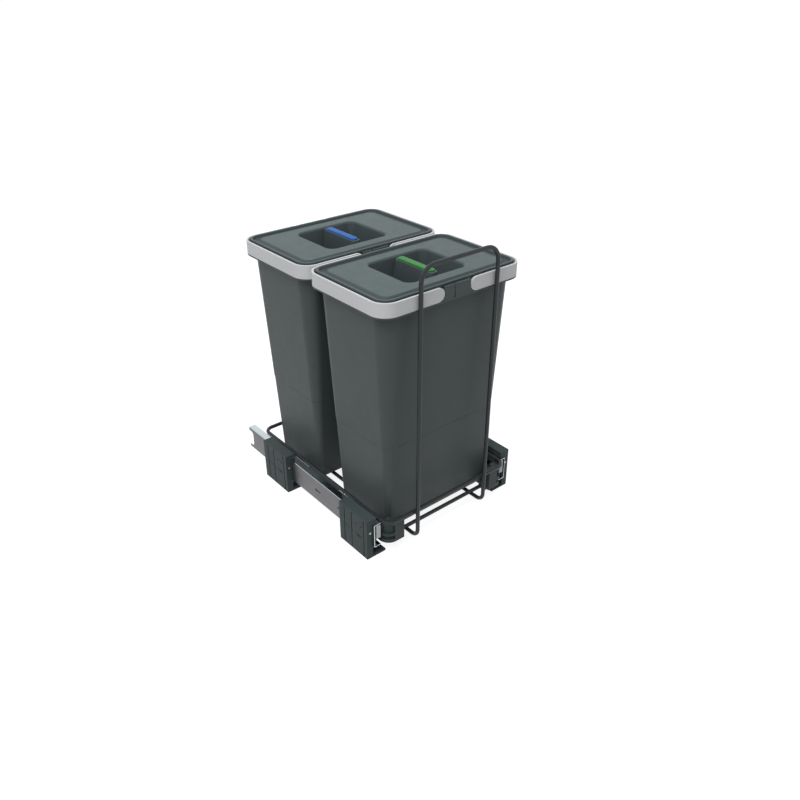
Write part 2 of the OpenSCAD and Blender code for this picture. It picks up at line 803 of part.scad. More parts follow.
module slide_middle_l() { color("#a9adb0") placed() on_side(-1) slide_middle(); }
module slide_middle_r() { color("#a9adb0") placed() on_side(1) slide_middle(); }
module inner_cage_l() { color("#8d9194") placed() on_side(-1) inner_cage(); }
module inner_cage_r() { color("#8d9194") placed() on_side(1) inner_cage(); }
module inner_balls_l() { color("#e4e6e8") placed() on_side(-1) balls(inner_ball_x, inner_ball_z); }
module inner_balls_r() { color("#e4e6e8") placed() on_side(1) balls(inner_ball_x, inner_ball_z); }
module slide_inner_l() { color("#b9bcbf") placed() on_side(-1) slide_inner(); }
module slide_inner_r() { color("#b9bcbf") placed() on_side(1) slide_inner(); }
module catch_l() { color("#c8cacb") placed() on_side(-1) catch_block(); }
module catch_r() { color("#c8cacb") placed() on_side(1) catch_block(); }
module guard_loop() { color("#2c3132") placed() guard_loop_wire(); }
module handle_wire() { color("#2c3132") placed() handle_wire_pair(); }
module cross_wires() { color("#2c3132") placed() cross_wire_set(); }
module rear_guard_wire() { color("#2c3132") placed() rear_guard(); }
module support_fl() { color("#353c3d") placed() handed(-1) support_front(); }
module support_fr() { color("#353c3d") placed() handed(1) support_front(); }
module support_rl() { color("#353c3d") placed() handed(-1) support_rear(); }
module support_rr() { color("#353c3d") placed() handed(1) support_rear(); }
module support_screws_l() { color("#d0d2d4") placed() handed(-1) support_screws(); }
module support_screws_r() { color("#d0d2d4") placed() handed(1) support_screws(); }
module front_bin() { color("#4a5153") placed() at_bin(bin_front_y) bin_shell(); }
module rear_bin() { color("#4a5153") placed() at_bin(bin_rear_y) bin_shell(); }
module front_bail_l() { color("#bcbdbd") placed() at_bin(bin_front_y) handed(-1) bail(); }
module front_bail_r() { color("#bcbdbd") placed() at_bin(bin_front_y) handed(1) bail(); }
module rear_bail_l() { color("#bcbdbd") placed() at_bin(bin_rear_y) handed(-1) bail(); }
module rear_bail_r() { color("#bcbdbd") placed() at_bin(bin_rear_y) handed(1) bail(); }
module front_lid() { color("#6b7a7a") placed() at_bin(bin_front_y) lid(); }
module rear_lid() { color("#6b7a7a") placed() at_bin(bin_rear_y) lid(); }
module front_insert() { color("#48964e") placed() at_bin(bin_front_y) insert(); }
module rear_insert() { color("#4878c4") placed() at_bin(bin_rear_y) insert(); }

module outer_cage() { ball_cage(outer_cage_x, outer_cage_w, outer_ball_x, outer_ball_z); }
module inner_cage() { ball_cage(inner_cage_x, inner_cage_w, inner_ball_x, inner_ball_z); }
module at_bin(y) { translate([0, y, 0]) children(); }
module rear_guard() {
    run_x = handle_w / 2 + loop_r;
    translate([-run_x, loop_rear_y, guard_z]) rod_x(wire_r, 2 * run_x);
}

bracket_fl();
bracket_fr();
bracket_rl();
bracket_rr();
slide_outer_l();
slide_outer_r();
slide_screws_l();
slide_screws_r();
lock_screws_l();
lock_screws_r();
rear_stop_l();
rear_stop_r();
outer_cage_l();
outer_cage_r();
outer_balls_l();
outer_balls_r();
slide_middle_l();
slide_middle_r();
inner_cage_l();
inner_cage_r();
inner_balls_l();
inner_balls_r();
slide_inner_l();
slide_inner_r();
catch_l();
catch_r();
guard_loop();
handle_wire();
cross_wires();
rear_guard_wire();
support_fl();
support_fr();
support_rl();
support_rr();
support_screws_l();
support_screws_r();
front_bin();
rear_bin();
front_bail_l();
front_bail_r();
rear_bail_l();
rear_bail_r();
front_lid();
rear_lid();
front_insert();
rear_insert();
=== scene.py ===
"""Pull-out waste bin unit, dressed and lit for Blender 4.5.

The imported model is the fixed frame. Each class below builds the visible pieces of one sub-assembly
in that frame and lets them ride on its bodies. Sizes in the classes are in millimetres.
"""

from __future__ import annotations

import json
import logging
import math
from dataclasses import astuple, dataclass
from enum import Enum
from typing import Iterable, Sequence

import bmesh
import bpy
from bmesh.types import BMesh, BMFace, BMVert
from bpy.types import Material, Mesh, Node, NodeSocket, Object
from mathutils import Matrix, Vector

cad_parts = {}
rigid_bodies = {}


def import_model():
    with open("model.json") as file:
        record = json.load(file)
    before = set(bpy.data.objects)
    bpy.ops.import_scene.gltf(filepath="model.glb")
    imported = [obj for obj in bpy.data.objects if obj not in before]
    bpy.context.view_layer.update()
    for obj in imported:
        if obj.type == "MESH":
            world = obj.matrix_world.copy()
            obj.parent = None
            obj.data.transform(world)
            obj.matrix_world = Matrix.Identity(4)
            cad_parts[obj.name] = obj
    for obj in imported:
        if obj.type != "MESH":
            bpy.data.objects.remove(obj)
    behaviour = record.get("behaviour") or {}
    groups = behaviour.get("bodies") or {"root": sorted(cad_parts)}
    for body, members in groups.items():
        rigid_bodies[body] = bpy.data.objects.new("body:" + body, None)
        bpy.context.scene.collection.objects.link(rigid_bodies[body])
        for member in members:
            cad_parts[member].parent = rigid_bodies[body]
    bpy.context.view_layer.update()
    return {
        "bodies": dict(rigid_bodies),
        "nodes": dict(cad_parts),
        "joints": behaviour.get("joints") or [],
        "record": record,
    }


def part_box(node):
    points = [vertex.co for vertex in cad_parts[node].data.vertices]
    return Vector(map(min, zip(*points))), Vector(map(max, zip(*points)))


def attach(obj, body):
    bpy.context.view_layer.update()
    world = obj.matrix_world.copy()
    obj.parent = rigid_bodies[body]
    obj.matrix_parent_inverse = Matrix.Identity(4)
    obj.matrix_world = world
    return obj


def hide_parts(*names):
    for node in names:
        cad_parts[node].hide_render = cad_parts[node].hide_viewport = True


MM = 0.001
# Front face of the brackets. Places along the slides are counted from it
FRONT_FACE = -184.0
# Edges with a wider angle than this are rounded, and those with a smaller one than this join flat faces
SHARP_DEG = 32.0
FLAT_DEG = 1.0
# The middle of a noise value's range, and how squarely a face looks along X
NOISE_RANGE = (0.3, 0.7)
SIDEWAYS_RANGE = (0.7, 0.97)
# Most of the way to the next ring that one rounding takes, and the smallest radius of a ring's corner
MOST_REACH = 0.48
LEAST_RADIUS = 0.05
# Points closer than this are one, in meshes made here and in those of the frame, in metres
SAME_POINT = 1e-7
SAME_CAD_POINT = 2e-6
LOG = logging.getLogger("bin_unit")
Colour = tuple[int, int, int]
Triple = tuple[float, float, float]


class Side(Enum):
    """Left and right of the unit, as the sign of X."""

    LEFT = -1
    RIGHT = 1

    @property
    def tail(self) -> str:
        """Returns the ending of a node name on this side."""
        return "l" if self is Side.LEFT else "r"


class Place(Enum):
    """Front and rear bin, as the first word of their node names."""

    FRONT = "front"
    REAR = "rear"


class TreeWriter:
    """Writes a node tree node by node."""

    def __init__(self, tree: bpy.types.NodeTree) -> None:
        """Takes a tree and empties it."""
        self.tree = tree
        tree.nodes.clear()

    def node(self, kind: str, inputs: dict[str | int, object] | None = None, mode: str = "") -> Node:
        """Adds a node. A socket among its inputs is linked, and any other value is set.

        Args:
            kind: The node's type name.
            inputs: Sockets and values by the name or place of the input.
            mode: Its operation, or else its type of data.

        Returns:
            The new node.
        """
        made = self.tree.nodes.new(kind)
        if mode and hasattr(made, "operation"):
            made.operation = mode
        elif mode:
            made.data_type = mode
        for key, value in (inputs or {}).items():
            if isinstance(value, NodeSocket):
                self.tree.links.new(value, made.inputs[key])
            else:
                made.inputs[key].default_value = value
        return made

    def math(self, operation: str, *values: NodeSocket | float) -> NodeSocket:
        """Returns the result of a math node."""
        return self.node("ShaderNodeMath", dict(enumerate(values)), operation).outputs[0]

    def direct_rays(self) -> NodeSocket:
        """Tells rays of the camera, of reflections and of clear pieces from all others.

        Returns:
            1 for such rays and 0 for the others.
        """
        rays = self.node("ShaderNodeLightPath").outputs
        seen = self.math("MAXIMUM", rays["Is Camera Ray"], rays["Is Glossy Ray"])
        return self.math("MAXIMUM", seen, rays["Is Transmission Ray"])


class Shader(TreeWriter):
    """The node tree of one material, with short calls for its usual nodes."""

    def __init__(self, name: str) -> None:
        """Starts an empty material.

        Args:
            name: Name of the material.
        """
        self.material = bpy.data.materials.new(name)
        self.material.use_nodes = True
        super().__init__(self.material.node_tree)

    @property
    def where(self) -> NodeSocket:
        """Returns the object's own coordinates."""
        return self.node("ShaderNodeTexCoord").outputs["Object"]

    def stretched(self, scale: Triple) -> NodeSocket:
        """Returns object coordinates scaled by a factor on each axis."""
        return self.node("ShaderNodeMapping", {"Scale": scale, "Vector": self.where}).outputs[0]

    def noise(self, cells: float, detail: float = 2.0, where: NodeSocket | None = None) -> NodeSocket:
        """Returns noise with so many cells in a metre, in the object's or in other coordinates."""
        inputs = {"Scale": cells, "Detail": detail, "Vector": where or self.where}
        return self.node("ShaderNodeTexNoise", inputs).outputs[0]

    def ramp(self, value: NodeSocket, given: tuple[float, float], low: float, high: float) -> NodeSocket:
        """Returns a value mapped from a given range to low and high."""
        inputs = {"Value": value, "From Min": given[0], "From Max": given[1], "To Min": low, "To Max": high}
        return self.node("ShaderNodeMapRange", inputs).outputs[0]

    def spread(self, value: NodeSocket, low: float, high: float) -> NodeSocket:
        """Returns a noise value mapped from its middle range to low and high."""
        return self.ramp(value, NOISE_RANGE, low, high)

    def tinted(self, colour: Colour, by: NodeSocket) -> NodeSocket:
        """Returns a screen colour made lighter and darker by a factor around 1."""
        return self.node("ShaderNodeVectorMath", {0: linear(colour), "Scale": by}, "SCALE").outputs[0]

    def mixed(self, share: NodeSocket, low: NodeSocket, high: NodeSocket) -> NodeSocket:
        """Returns a colour that goes from low to high with a value from 0 to 1."""
        # The colour sockets share their names with others and are told by their places
        return self.node("ShaderNodeMix", {0: share, 6: low, 7: high}, "RGBA").outputs[2]

    def marked(self, name: str, low: NodeSocket, high: NodeSocket) -> NodeSocket:
        """Returns a colour that goes from low to high with a value stored on the mesh.

        Args:
            name: Name of the stored value.
            low: Colour where the value is 0.
            high: Colour where it is 1.

        Returns:
            The mixed colour.
        """
        stored = self.node("ShaderNodeAttribute")
        stored.attribute_name = name
        return self.mixed(stored.outputs["Fac"], low, high)

    def sideways(self) -> NodeSocket:
        """Returns 1 on faces that look along X and 0 on those that look along Y or Z."""
        parts = self.node("ShaderNodeSeparateXYZ", {0: self.node("ShaderNodeNewGeometry").outputs["Normal"]})
        return self.ramp(self.math("ABSOLUTE", parts.outputs["X"]), SIDEWAYS_RANGE, 0.0, 1.0)

    def relief(self, height: NodeSocket, depth_mm: float, under: NodeSocket | None = None) -> NodeSocket:
        """Returns a normal that carries a height value as bumps of a real depth."""
        below = {"Normal": under} if under else {}
        return self.node("ShaderNodeBump", {"Distance": depth_mm * MM, "Height": height, **below}).outputs[0]

    def finished(self, surface: Node) -> Material:
        """Returns the material with a surface at its output."""
        self.node("ShaderNodeOutputMaterial", {"Surface": surface.outputs[0]})
        return self.material

    def dressed(self, inputs: dict[str, NodeSocket | float]) -> Material:
        """Returns the material with a principled surface that takes the inputs."""
        return self.finished(self.node("ShaderNodeBsdfPrincipled", inputs))


def linear(colour: Colour) -> tuple[float, ...]:
    """Returns a screen colour from 0 to 255 as linear light."""
    return tuple(((c / 255 + 0.055) / 1.055) ** 2.4 if c > 10 else c / 255 / 12.92 for c in colour)


@dataclass(frozen=True)
class Finish:
    """What every finish has: the material's name and its screen colour. Noise scales are cells in a metre."""

    name: str
    colour: Colour

    def build(self) -> Material:
        """Returns the material."""
        raise NotImplementedError


@dataclass(frozen=True)
class MouldedPlastic(Finish):
    """Injection-moulded plastic with a spark-eroded grain and faint flow marks, and painted shade where a
    shade colour is given.
    """

    roughness: float = 0.45
    grain_mm: float = 0.45
    grain_depth_mm: float = 0.012
    flow: float = 0.025
    flow_cells: float = 9.0
    flow_stretch: Triple = (1.0, 1.0, 0.35)
    speck: float = 0.025
    speck_mm: float = 1.7
    patch_cells: float = 60.0
    wave_cells: float = 14.0
    wave_depth_mm: float = 0.012
    gloss: float = 0.24
    # Colour of painted shade, blended in where the mesh's stored tone value is below 1
    shade: Colour | None = None

    def build(self) -> Material:
        """Makes the plastic.

        Returns:
            The material.
        """
        shader = Shader(self.name)
        flow = shader.noise(self.flow_cells, 3.0, shader.stretched(self.flow_stretch))
        specks = shader.noise(1 / (self.speck_mm * MM))
        tint = shader.math(
            "MULTIPLY",
            shader.spread(flow, 1 - self.flow, 1 + self.flow),
            shader.spread(specks, 1 - self.speck, 1 + self.speck),
        )
        base = shader.tinted(self.colour, tint)
        # Painted shade: the shade colour wherever the stored tone value falls below 1
        if self.shade:
            base = shader.marked("tone", shader.tinted(self.shade, tint), base)
        patches = shader.noise(self.patch_cells, 3.0)
        grain = shader.noise(1 / (self.grain_mm * MM), 1.0)
        waves = shader.relief(shader.noise(self.wave_cells, 1.0), self.wave_depth_mm)
        return shader.dressed({
            "Base Color": base,
            "Roughness": shader.spread(patches, self.roughness - 0.03, self.roughness + 0.04),
            "Normal": shader.relief(grain, self.grain_depth_mm, waves),
            "Specular IOR Level": self.gloss,
        })


@dataclass(frozen=True)
class ZincSheet(Finish):
    """Zinc-plated strip, drawn along Y: dull on its broad webs, and with a painted highlight, a lighter
    colour, on its lips and ends.
    """

    # Colour of the painted highlight on the lips and ends
    bright: Colour
    roughness: float = 0.37
    metal: float = 0.82
    lip_roughness: float = 0.15
    cloud_cells: float = 38.0
    streak_cells: float = 900.0
    streak_stretch: Triple = (1.0, 0.012, 1.0)
    relief_mm: float = 0.01

    def build(self) -> Material:
        """Makes the plated strip.

        Returns:
            The material.
        """
        shader = Shader(self.name)
        side = shader.sideways()
        clouds = shader.noise(self.cloud_cells, 4.0)
        streaks = shader.noise(self.streak_cells, 2.0, shader.stretched(self.streak_stretch))
        cloudy = shader.spread(clouds, 0.92, 1.07)
        # The faces that don't look along X, the lips and ends, take the painted highlight colour
        web, lip = (shader.tinted(tone, cloudy) for tone in (self.colour, self.bright))
        rolled = shader.spread(streaks, self.lip_roughness - 0.02, self.lip_roughness + 0.03)
        drawn = shader.spread(streaks, self.roughness - 0.05, self.roughness + 0.07)
        return shader.dressed({
            "Base Color": shader.mixed(side, lip, web),
            "Metallic": shader.spread(side, 1.0, self.metal),
            "Roughness": shader.mixed(side, rolled, drawn),
            "Normal": shader.relief(clouds, self.relief_mm),
        })


@dataclass(frozen=True)
class GrainedSurface(Finish):
    """A plain surface whose colour and roughness follow one noise, which may stand up as relief too."""

    roughness: tuple[float, float]
    cells: float = 700.0
    detail: float = 2.0
    tint: tuple[float, float] = (0.94, 1.04)
    cloud_cells: float = 0.0
    relief_mm: float = 0.0
    metal: float = 0.0
    gloss: float = 0.5
    coat: float = 0.0
    coat_roughness: float = 0.03

    def build(self) -> Material:
        """Makes the surface.

        Returns:
            The material.
        """
        shader = Shader(self.name)
        grain = shader.noise(self.cells, self.detail)
        clouds = shader.noise(self.cloud_cells) if self.cloud_cells else grain
        inputs = {
            "Base Color": shader.tinted(self.colour, shader.spread(clouds, *self.tint)),
            "Roughness": shader.spread(grain, *self.roughness),
            "Metallic": self.metal,
            "Specular IOR Level": self.gloss,
            "Coat Weight": self.coat,
            "Coat Roughness": self.coat_roughness,
        }
        if self.relief_mm:
            inputs["Normal"] = shader.relief(grain, self.relief_mm)
        return shader.dressed(inputs)


# Each slot of the record with its finish
FINISHES: dict[str, Finish] = {
    "bin": MouldedPlastic("bin_anthracite", (77, 84, 84), roughness=0.44, gloss=0.17),
    "bail": MouldedPlastic("bail_light_grey", (211, 212, 212), roughness=0.4, flow=0.02),
    # The lid's shade colour is painted shade in its channel, pocket and grip, and partly on its rib
    "lid": MouldedPlastic("lid_slate_grey", (73, 88, 89), roughness=0.4, shade=(73, 81, 82)),
    "insert_green": MouldedPlastic("insert_green", (40, 124, 46), roughness=0.36, flow=0.03),
    "insert_blue": MouldedPlastic("insert_blue", (38, 101, 172), roughness=0.36, gloss=0.1, flow=0.03),
    "bracket": MouldedPlastic(
        "bracket_anthracite", (72, 81, 81), roughness=0.5, gloss=0.08, grain_depth_mm=0.02
    ),
    "support": MouldedPlastic("support_anthracite", (54, 61, 61), roughness=0.5),
    "catch": MouldedPlastic("end_block_grey", (206, 206, 208), roughness=0.42, flow=0.02),
    # Powder paint with its orange-peel surface
    "wire": GrainedSurface(
        "wire_powder_coat", (42, 47, 49), cells=1 / (1.3 * MM), detail=1.5, tint=(0.94, 1.06),
        roughness=(0.36, 0.49), cloud_cells=22.0, relief_mm=0.035, gloss=0.3, coat=0.05, coat_roughness=0.3,
    ),
    # The second colour of the zinc and of the cage is a painted highlight on the lips and ends
    "zinc": ZincSheet("zinc_strip", (104, 104, 107), (203, 213, 217)),
    "cage": ZincSheet("cage_strip", (112, 113, 115), (150, 152, 154), roughness=0.4),
    "screw": GrainedSurface("screw_zinc", (188, 190, 193), roughness=(0.15, 0.28), metal=1.0),
    "ball": GrainedSurface("ball_steel", (225, 226, 228), roughness=(0.07, 0.2), metal=1.0),
    # Dull moulded rubber
    "stop": GrainedSurface(
        "stop_rubber", (30, 31, 32), cells=240.0, detail=3.0, tint=(0.85, 1.2), roughness=(0.72, 0.9),
        relief_mm=0.04,
    ),
}


def box_mm(node: str) -> tuple[Vector, Vector]:
    """Returns a node's lowest and highest corner in millimetres."""
    low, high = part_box(node)
    return low / MM, high / MM


def centre_mm(node: str) -> Vector:
    """Returns the middle of a node's length, on the floor of the unit's middle plane."""
    low, high = box_mm(node)
    return Vector((0.0, (low.y + high.y) / 2, 0.0))


def publish(name: str, mesh: Mesh, material: Material, body: str) -> Object:
    """Puts a finished mesh in the scene and lets it ride on a body.

    Args:
        name: Name of the piece.
        mesh: Mesh in the unit's own frame, in metres.
        material: Its only material.
        body: Name of the body that carries it.

    Returns:
        The new object.
    """
    mesh.materials.clear()
    mesh.materials.append(material)
    piece = bpy.data.objects.new(name, mesh)
    bpy.context.scene.collection.objects.link(piece)
    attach(piece, body)
    LOG.info("%s: %d faces on %s", name, len(mesh.polygons), body)
    return piece


def round_edges(
    piece: Object, width_mm: float, segments: int, angle: float = SHARP_DEG, weighed: bool = False
) -> None:
    """Gives a piece moulded or rolled edges with a live bevel.

    Args:
        piece: The piece.
        width_mm: Width of the rounding.
        segments: Facets across it.
        angle: Angle from which an edge is rounded, in degrees.
        weighed: Whether the weights stored on the edges choose them in place of the angle.
    """
    bevel = piece.modifiers.new("edges", "BEVEL")
    bevel.width = width_mm * MM
    bevel.segments = segments
    bevel.limit_method = "WEIGHT" if weighed else "ANGLE"
    bevel.angle_limit = math.radians(angle)
    bevel.miter_outer = "MITER_ARC"


def weigh_bends(shape: BMesh, rest: float, near: float = 0.02 * MM) -> None:
    """Stores full bevel weight on the two long bends beside a strip's web and less on its other sharp edges.

    Args:
        shape: Edit mesh of a strip along Y, with its web on the side away from the unit's middle.
        rest: Weight of the other sharp edges.
        near: How close to the web's outline the ends of a bend lie, in metres.
    """
    weights = shape.edges.layers.float.new("bevel_weight_edge")
    web = max(abs(vert.co.x) for vert in shape.verts)
    low, high = (pick(vert.co.z for vert in shape.verts) for pick in (min, max))
    for edge in shape.edges:
        if edge.calc_face_angle(0.0) < math.radians(SHARP_DEG):
            continue
        ends = [vert.co for vert in edge.verts]
        bent = all(abs(end.x) > web - near and min(end.z - low, high - end.z) < near for end in ends)
        edge[weights] = 1.0 if bent else rest


def even_shading(piece: Object) -> None:
    """Lets the large faces of a piece keep their own shading beside its rounded edges."""
    piece.modifiers.new("even_shading", "WEIGHTED_NORMAL").weight = 90


@dataclass(frozen=True)
class Ring:
    """One rounded rectangle of a loft, about the bin's middle in plan."""

    half_x: float
    half_y: float
    radius: float
    z: float

    def drawn_in(self, by: float, z: float, radius: float | None = None) -> Ring:
        """Returns the ring drawn in all round, at a height, with its radius less the same or as given."""
        return Ring(self.half_x - by, self.half_y - by, self.radius - by if radius is None else radius, z)

    def blend(self, other: Ring, share: float) -> Ring:
        """Returns the ring that lies a share of the way to another."""
        pairs = zip(astuple(self), astuple(other))
        return Ring(*(here * (1 - share) + there * share for here, there in pairs))

    def toward(self, other: Ring, reach: float) -> Ring:
        """Returns the ring that lies a reach along the wall to another."""
        away = math.hypot(self.half_x - other.half_x, self.z - other.z) or 1e-9
        return self.blend(other, min(MOST_REACH, reach / away))

    def points(self, steps: int) -> list[Vector]:
        """Walks round the ring from the middle of its right side.

        Args:
            steps: Facets in each corner.

        Returns:
            The points.
        """
        radius = max(self.radius, LEAST_RADIUS)
        made = []
        for quarter, (sx, sy) in enumerate(((1, 1), (-1, 1), (-1, -1), (1, -1))):
            for step in range(steps + 1):
                angle = math.radians(90 * (quarter + step / steps))
                x = sx * (self.half_x - radius) + radius * math.cos(angle)
                y = sy * (self.half_y - radius) + radius * math.sin(angle)
                made.append(Vector((x, y, self.z)))
        return made


# A run of rings, each with the reach of the rounding at it
Wall = Sequence[tuple[Ring, float]]


def softened(wall: Wall, steps: int = 4) -> list[Ring]:
    """Turns each corner of a wall that has a reach into a small curve.

    Args:
        wall: The wall.
        steps: Facets in each curve.

    Returns:
        The rings of the rounded wall.
    """
    rings = [ring for ring, _ in wall]
    made = [rings[0]]
    for before, (here, reach), after in zip(rings, wall[1:], rings[2:]):
        if reach <= 0:
            made.append(here)
            continue
        start, end = here.toward(before, reach), here.toward(after, reach)
        for step in range(steps + 1):
            share = step / steps
            made.append(start.blend(here, share).blend(here.blend(end, share), share))
    return made + [rings[-1]]


class Solid:
    """An edit mesh that grows about a middle in plan. It takes points in millimetres from there."""

    def __init__(self, centre: Vector = Vector()) -> None:
        """Starts an empty mesh."""
        self.centre = centre
        self.shape = bmesh.new()

    def row(self, points: Iterable[Vector]) -> list[BMVert]:
        """Adds points and returns them as a row."""
        return [self.shape.verts.new((self.centre + point) * MM) for point in points]

    def skin(self, rows: Sequence[Sequence[BMVert]]) -> None:
        """Joins closed rows of points one after another with faces.

        Args:
            rows: Rows of equally many points.
        """
        for low, high in zip(rows, rows[1:]):
            for k in range(len(low)):
                self.shape.faces.new((low[k - 1], low[k], high[k], high[k - 1]))

    def tube(self, rows: Sequence[Sequence[BMVert]]) -> BMFace:
        """Skins rows of points and closes both ends.

        Args:
            rows: Rows of equally many points.

        Returns:
            The face that closes the first row.
        """
        self.skin(rows)
        self.shape.faces.new(reversed(rows[-1]))
        return self.shape.faces.new(rows[0])

    def loft(self, wall: Wall, steps: int = 14) -> None:
        """Adds a closed body round a wall's rings, with so many facets in each corner in plan."""
        self.tube([self.row(ring.points(steps)) for ring in softened(wall)])

    def slab(self, outline: Sequence[Vector], outer_y: float, inner_y: float, edge_mm: float = 0.4) -> None:
        """Adds an upright slab with broken edges on its outer face.

        Args:
            outline: The slab's outline in X and Z.
            outer_y: Place of its outer face.
            inner_y: Place of its inner face.
            edge_mm: Width of the broken edges.
        """
        face = self.tube([self.row(Vector((p.x, y, p.z)) for p in outline) for y in (outer_y, inner_y)])
        sizes = {"offset": edge_mm * MM, "segments": 2, "profile": 0.5}
        bmesh.ops.bevel(self.shape, geom=list(face.edges), affect="EDGES", **sizes)

    def mesh(self, name: str, smooth: bool = True) -> Mesh:
        """Turns the edit mesh into a mesh with outward faces and frees it.

        Args:
            name: Name of the mesh.
            smooth: Whether its faces are shaded smooth.

        Returns:
            The mesh.
        """
        bmesh.ops.remove_doubles(self.shape, verts=self.shape.verts, dist=SAME_POINT)
        bmesh.ops.recalc_face_normals(self.shape, faces=self.shape.faces)
        for face in self.shape.faces:
            face.smooth = smooth
        mesh = bpy.data.meshes.new(name)
        self.shape.to_mesh(mesh)
        self.shape.free()
        return mesh


class GeometryTree(TreeWriter):
    """A Geometry Nodes tree with named inputs."""

    def __init__(self, name: str) -> None:
        """Starts a tree with a geometry input and output.

        Args:
            name: Name of the tree.
        """
        super().__init__(bpy.data.node_groups.new(name, "GeometryNodeTree"))
        for way in ("INPUT", "OUTPUT"):
            self.tree.interface.new_socket("Geometry", in_out=way, socket_type="NodeSocketGeometry")
        self.inlet = self.node("NodeGroupInput")

    def input(self, name: str, kind: str) -> NodeSocket:
        """Adds a named input to the tree and returns its socket inside."""
        self.tree.interface.new_socket(name, in_out="INPUT", socket_type=kind)
        return self.inlet.outputs[name]

    def close(self, geometry: Node) -> None:
        """Ends the tree in real geometry with the material that an input names.

        Args:
            geometry: Node that gives the geometry.
        """
        real = self.node("GeometryNodeRealizeInstances", {"Geometry": geometry.outputs[0]})
        material = self.input("Material", "NodeSocketMaterial")
        dressed = self.node("GeometryNodeSetMaterial", {"Geometry": real.outputs[0], "Material": material})
        self.node("NodeGroupOutput", {"Geometry": dressed.outputs[0]})

    def grow(self, seed: Mesh, name: str, values: dict[str, object]) -> Mesh:
        """Runs the tree on a seed mesh and returns the result as a plain mesh.

        Args:
            seed: Mesh that the tree starts from.
            name: Name of the new mesh.
            values: The tree's inputs by name.

        Returns:
            The evaluated mesh.
        """
        holder = bpy.data.objects.new(name + "_seed", seed)
        bpy.context.scene.collection.objects.link(holder)
        modifier = holder.modifiers.new(self.tree.name, "NODES")
        modifier.node_group = self.tree
        for item in self.tree.interface.items_tree:
            if item.in_out == "INPUT" and item.name in values:
                modifier[item.identifier] = values[item.name]
        graph = bpy.context.evaluated_depsgraph_get()
        mesh = bpy.data.meshes.new_from_object(holder.evaluated_get(graph))
        mesh.name = name
        bpy.data.objects.remove(holder)
        return mesh


class WireTree(GeometryTree):
    """Sweeps a round wire along each path of the seed, with its ends nipped in."""

    def __init__(self) -> None:
        """Builds the tree."""
        super().__init__("swept_wire")
        radius = self.input("Wire radius", "NodeSocketFloat")
        sides = self.input("Sides", "NodeSocketInt")
        curve = self.node("GeometryNodeMeshToCurve", {"Mesh": self.inlet.outputs["Geometry"]}).outputs[0]
        taper = self.node("GeometryNodeInputNamedAttribute", {"Name": "taper"}, "FLOAT").outputs["Attribute"]
        thinned = self.node("GeometryNodeSetCurveRadius", {"Curve": curve, "Radius": taper}).outputs[0]
        ring = self.node("GeometryNodeCurvePrimitiveCircle", {"Resolution": sides, "Radius": radius})
        profile = {"Curve": thinned, "Profile Curve": ring.outputs[0], "Fill Caps": True}
        sweep = self.node("GeometryNodeCurveToMesh", profile).outputs[0]
        self.close(self.node("GeometryNodeSetShadeSmooth", {"Geometry": sweep, "Shade Smooth": True}))


class ScatterTree(GeometryTree):
    """Sets a copy of one model at each point of the seed, turned as the point says."""

    def __init__(self) -> None:
        """Builds the tree."""
        super().__init__("set_copies")
        info = self.node("GeometryNodeObjectInfo", {"Object": self.input("Model", "NodeSocketObject")})
        turn = self.node("GeometryNodeInputNamedAttribute", {"Name": "turn"}, "FLOAT_VECTOR")
        angles = self.node("FunctionNodeEulerToRotation", {"Euler": turn.outputs["Attribute"]})
        inputs = {
            "Points": self.inlet.outputs["Geometry"],
            "Instance": info.outputs["Geometry"],
            "Rotation": angles.outputs[0],
        }
        self.close(self.node("GeometryNodeInstanceOnPoints", inputs))


@dataclass
class WirePath:
    """Points of one wire, with bends of a real radius between straight runs."""

    points: list[Vector]
    closed: bool = False

    @staticmethod
    def across(low_x: float, high_x: float, y: float, z: float) -> WirePath:
        """Returns a straight path along X."""
        return WirePath([Vector((x, y, z)) for x in (low_x, 0.0, high_x)])

    @staticmethod
    def bent(
        corners: Sequence[Vector], radii: Sequence[float], closed: bool = False, steps: int = 12
    ) -> WirePath:
        """Makes a path from corner points.

        Args:
            corners: Where the straight runs would meet.
            radii: Bend radius at each corner; zero leaves it as it is.
            closed: Whether the last point joins the first.
            steps: Facets in each bend.

        Returns:
            The bent path.
        """
        made: list[Vector] = []
        count = len(corners)
        for k, (corner, radius) in enumerate(zip(corners, radii)):
            if radius <= 0 or (not closed and k in (0, count - 1)):
                made.append(corner.copy())
                continue
            back = (corners[k - 1] - corner).normalized()
            ahead = (corners[(k + 1) % count] - corner).normalized()
            half = back.angle(ahead) / 2
            reach = radius / math.tan(half)
            middle = corner + (back + ahead).normalized() * (radius / math.sin(half))
            start, end = corner + back * reach - middle, corner + ahead * reach - middle
            turn = start.angle(end)
            for step in range(steps + 1):
                early, late = (math.sin(share * turn) for share in (1 - step / steps, step / steps))
                made.append(middle + (start * early + end * late) / math.sin(turn))
        return WirePath(made, closed)


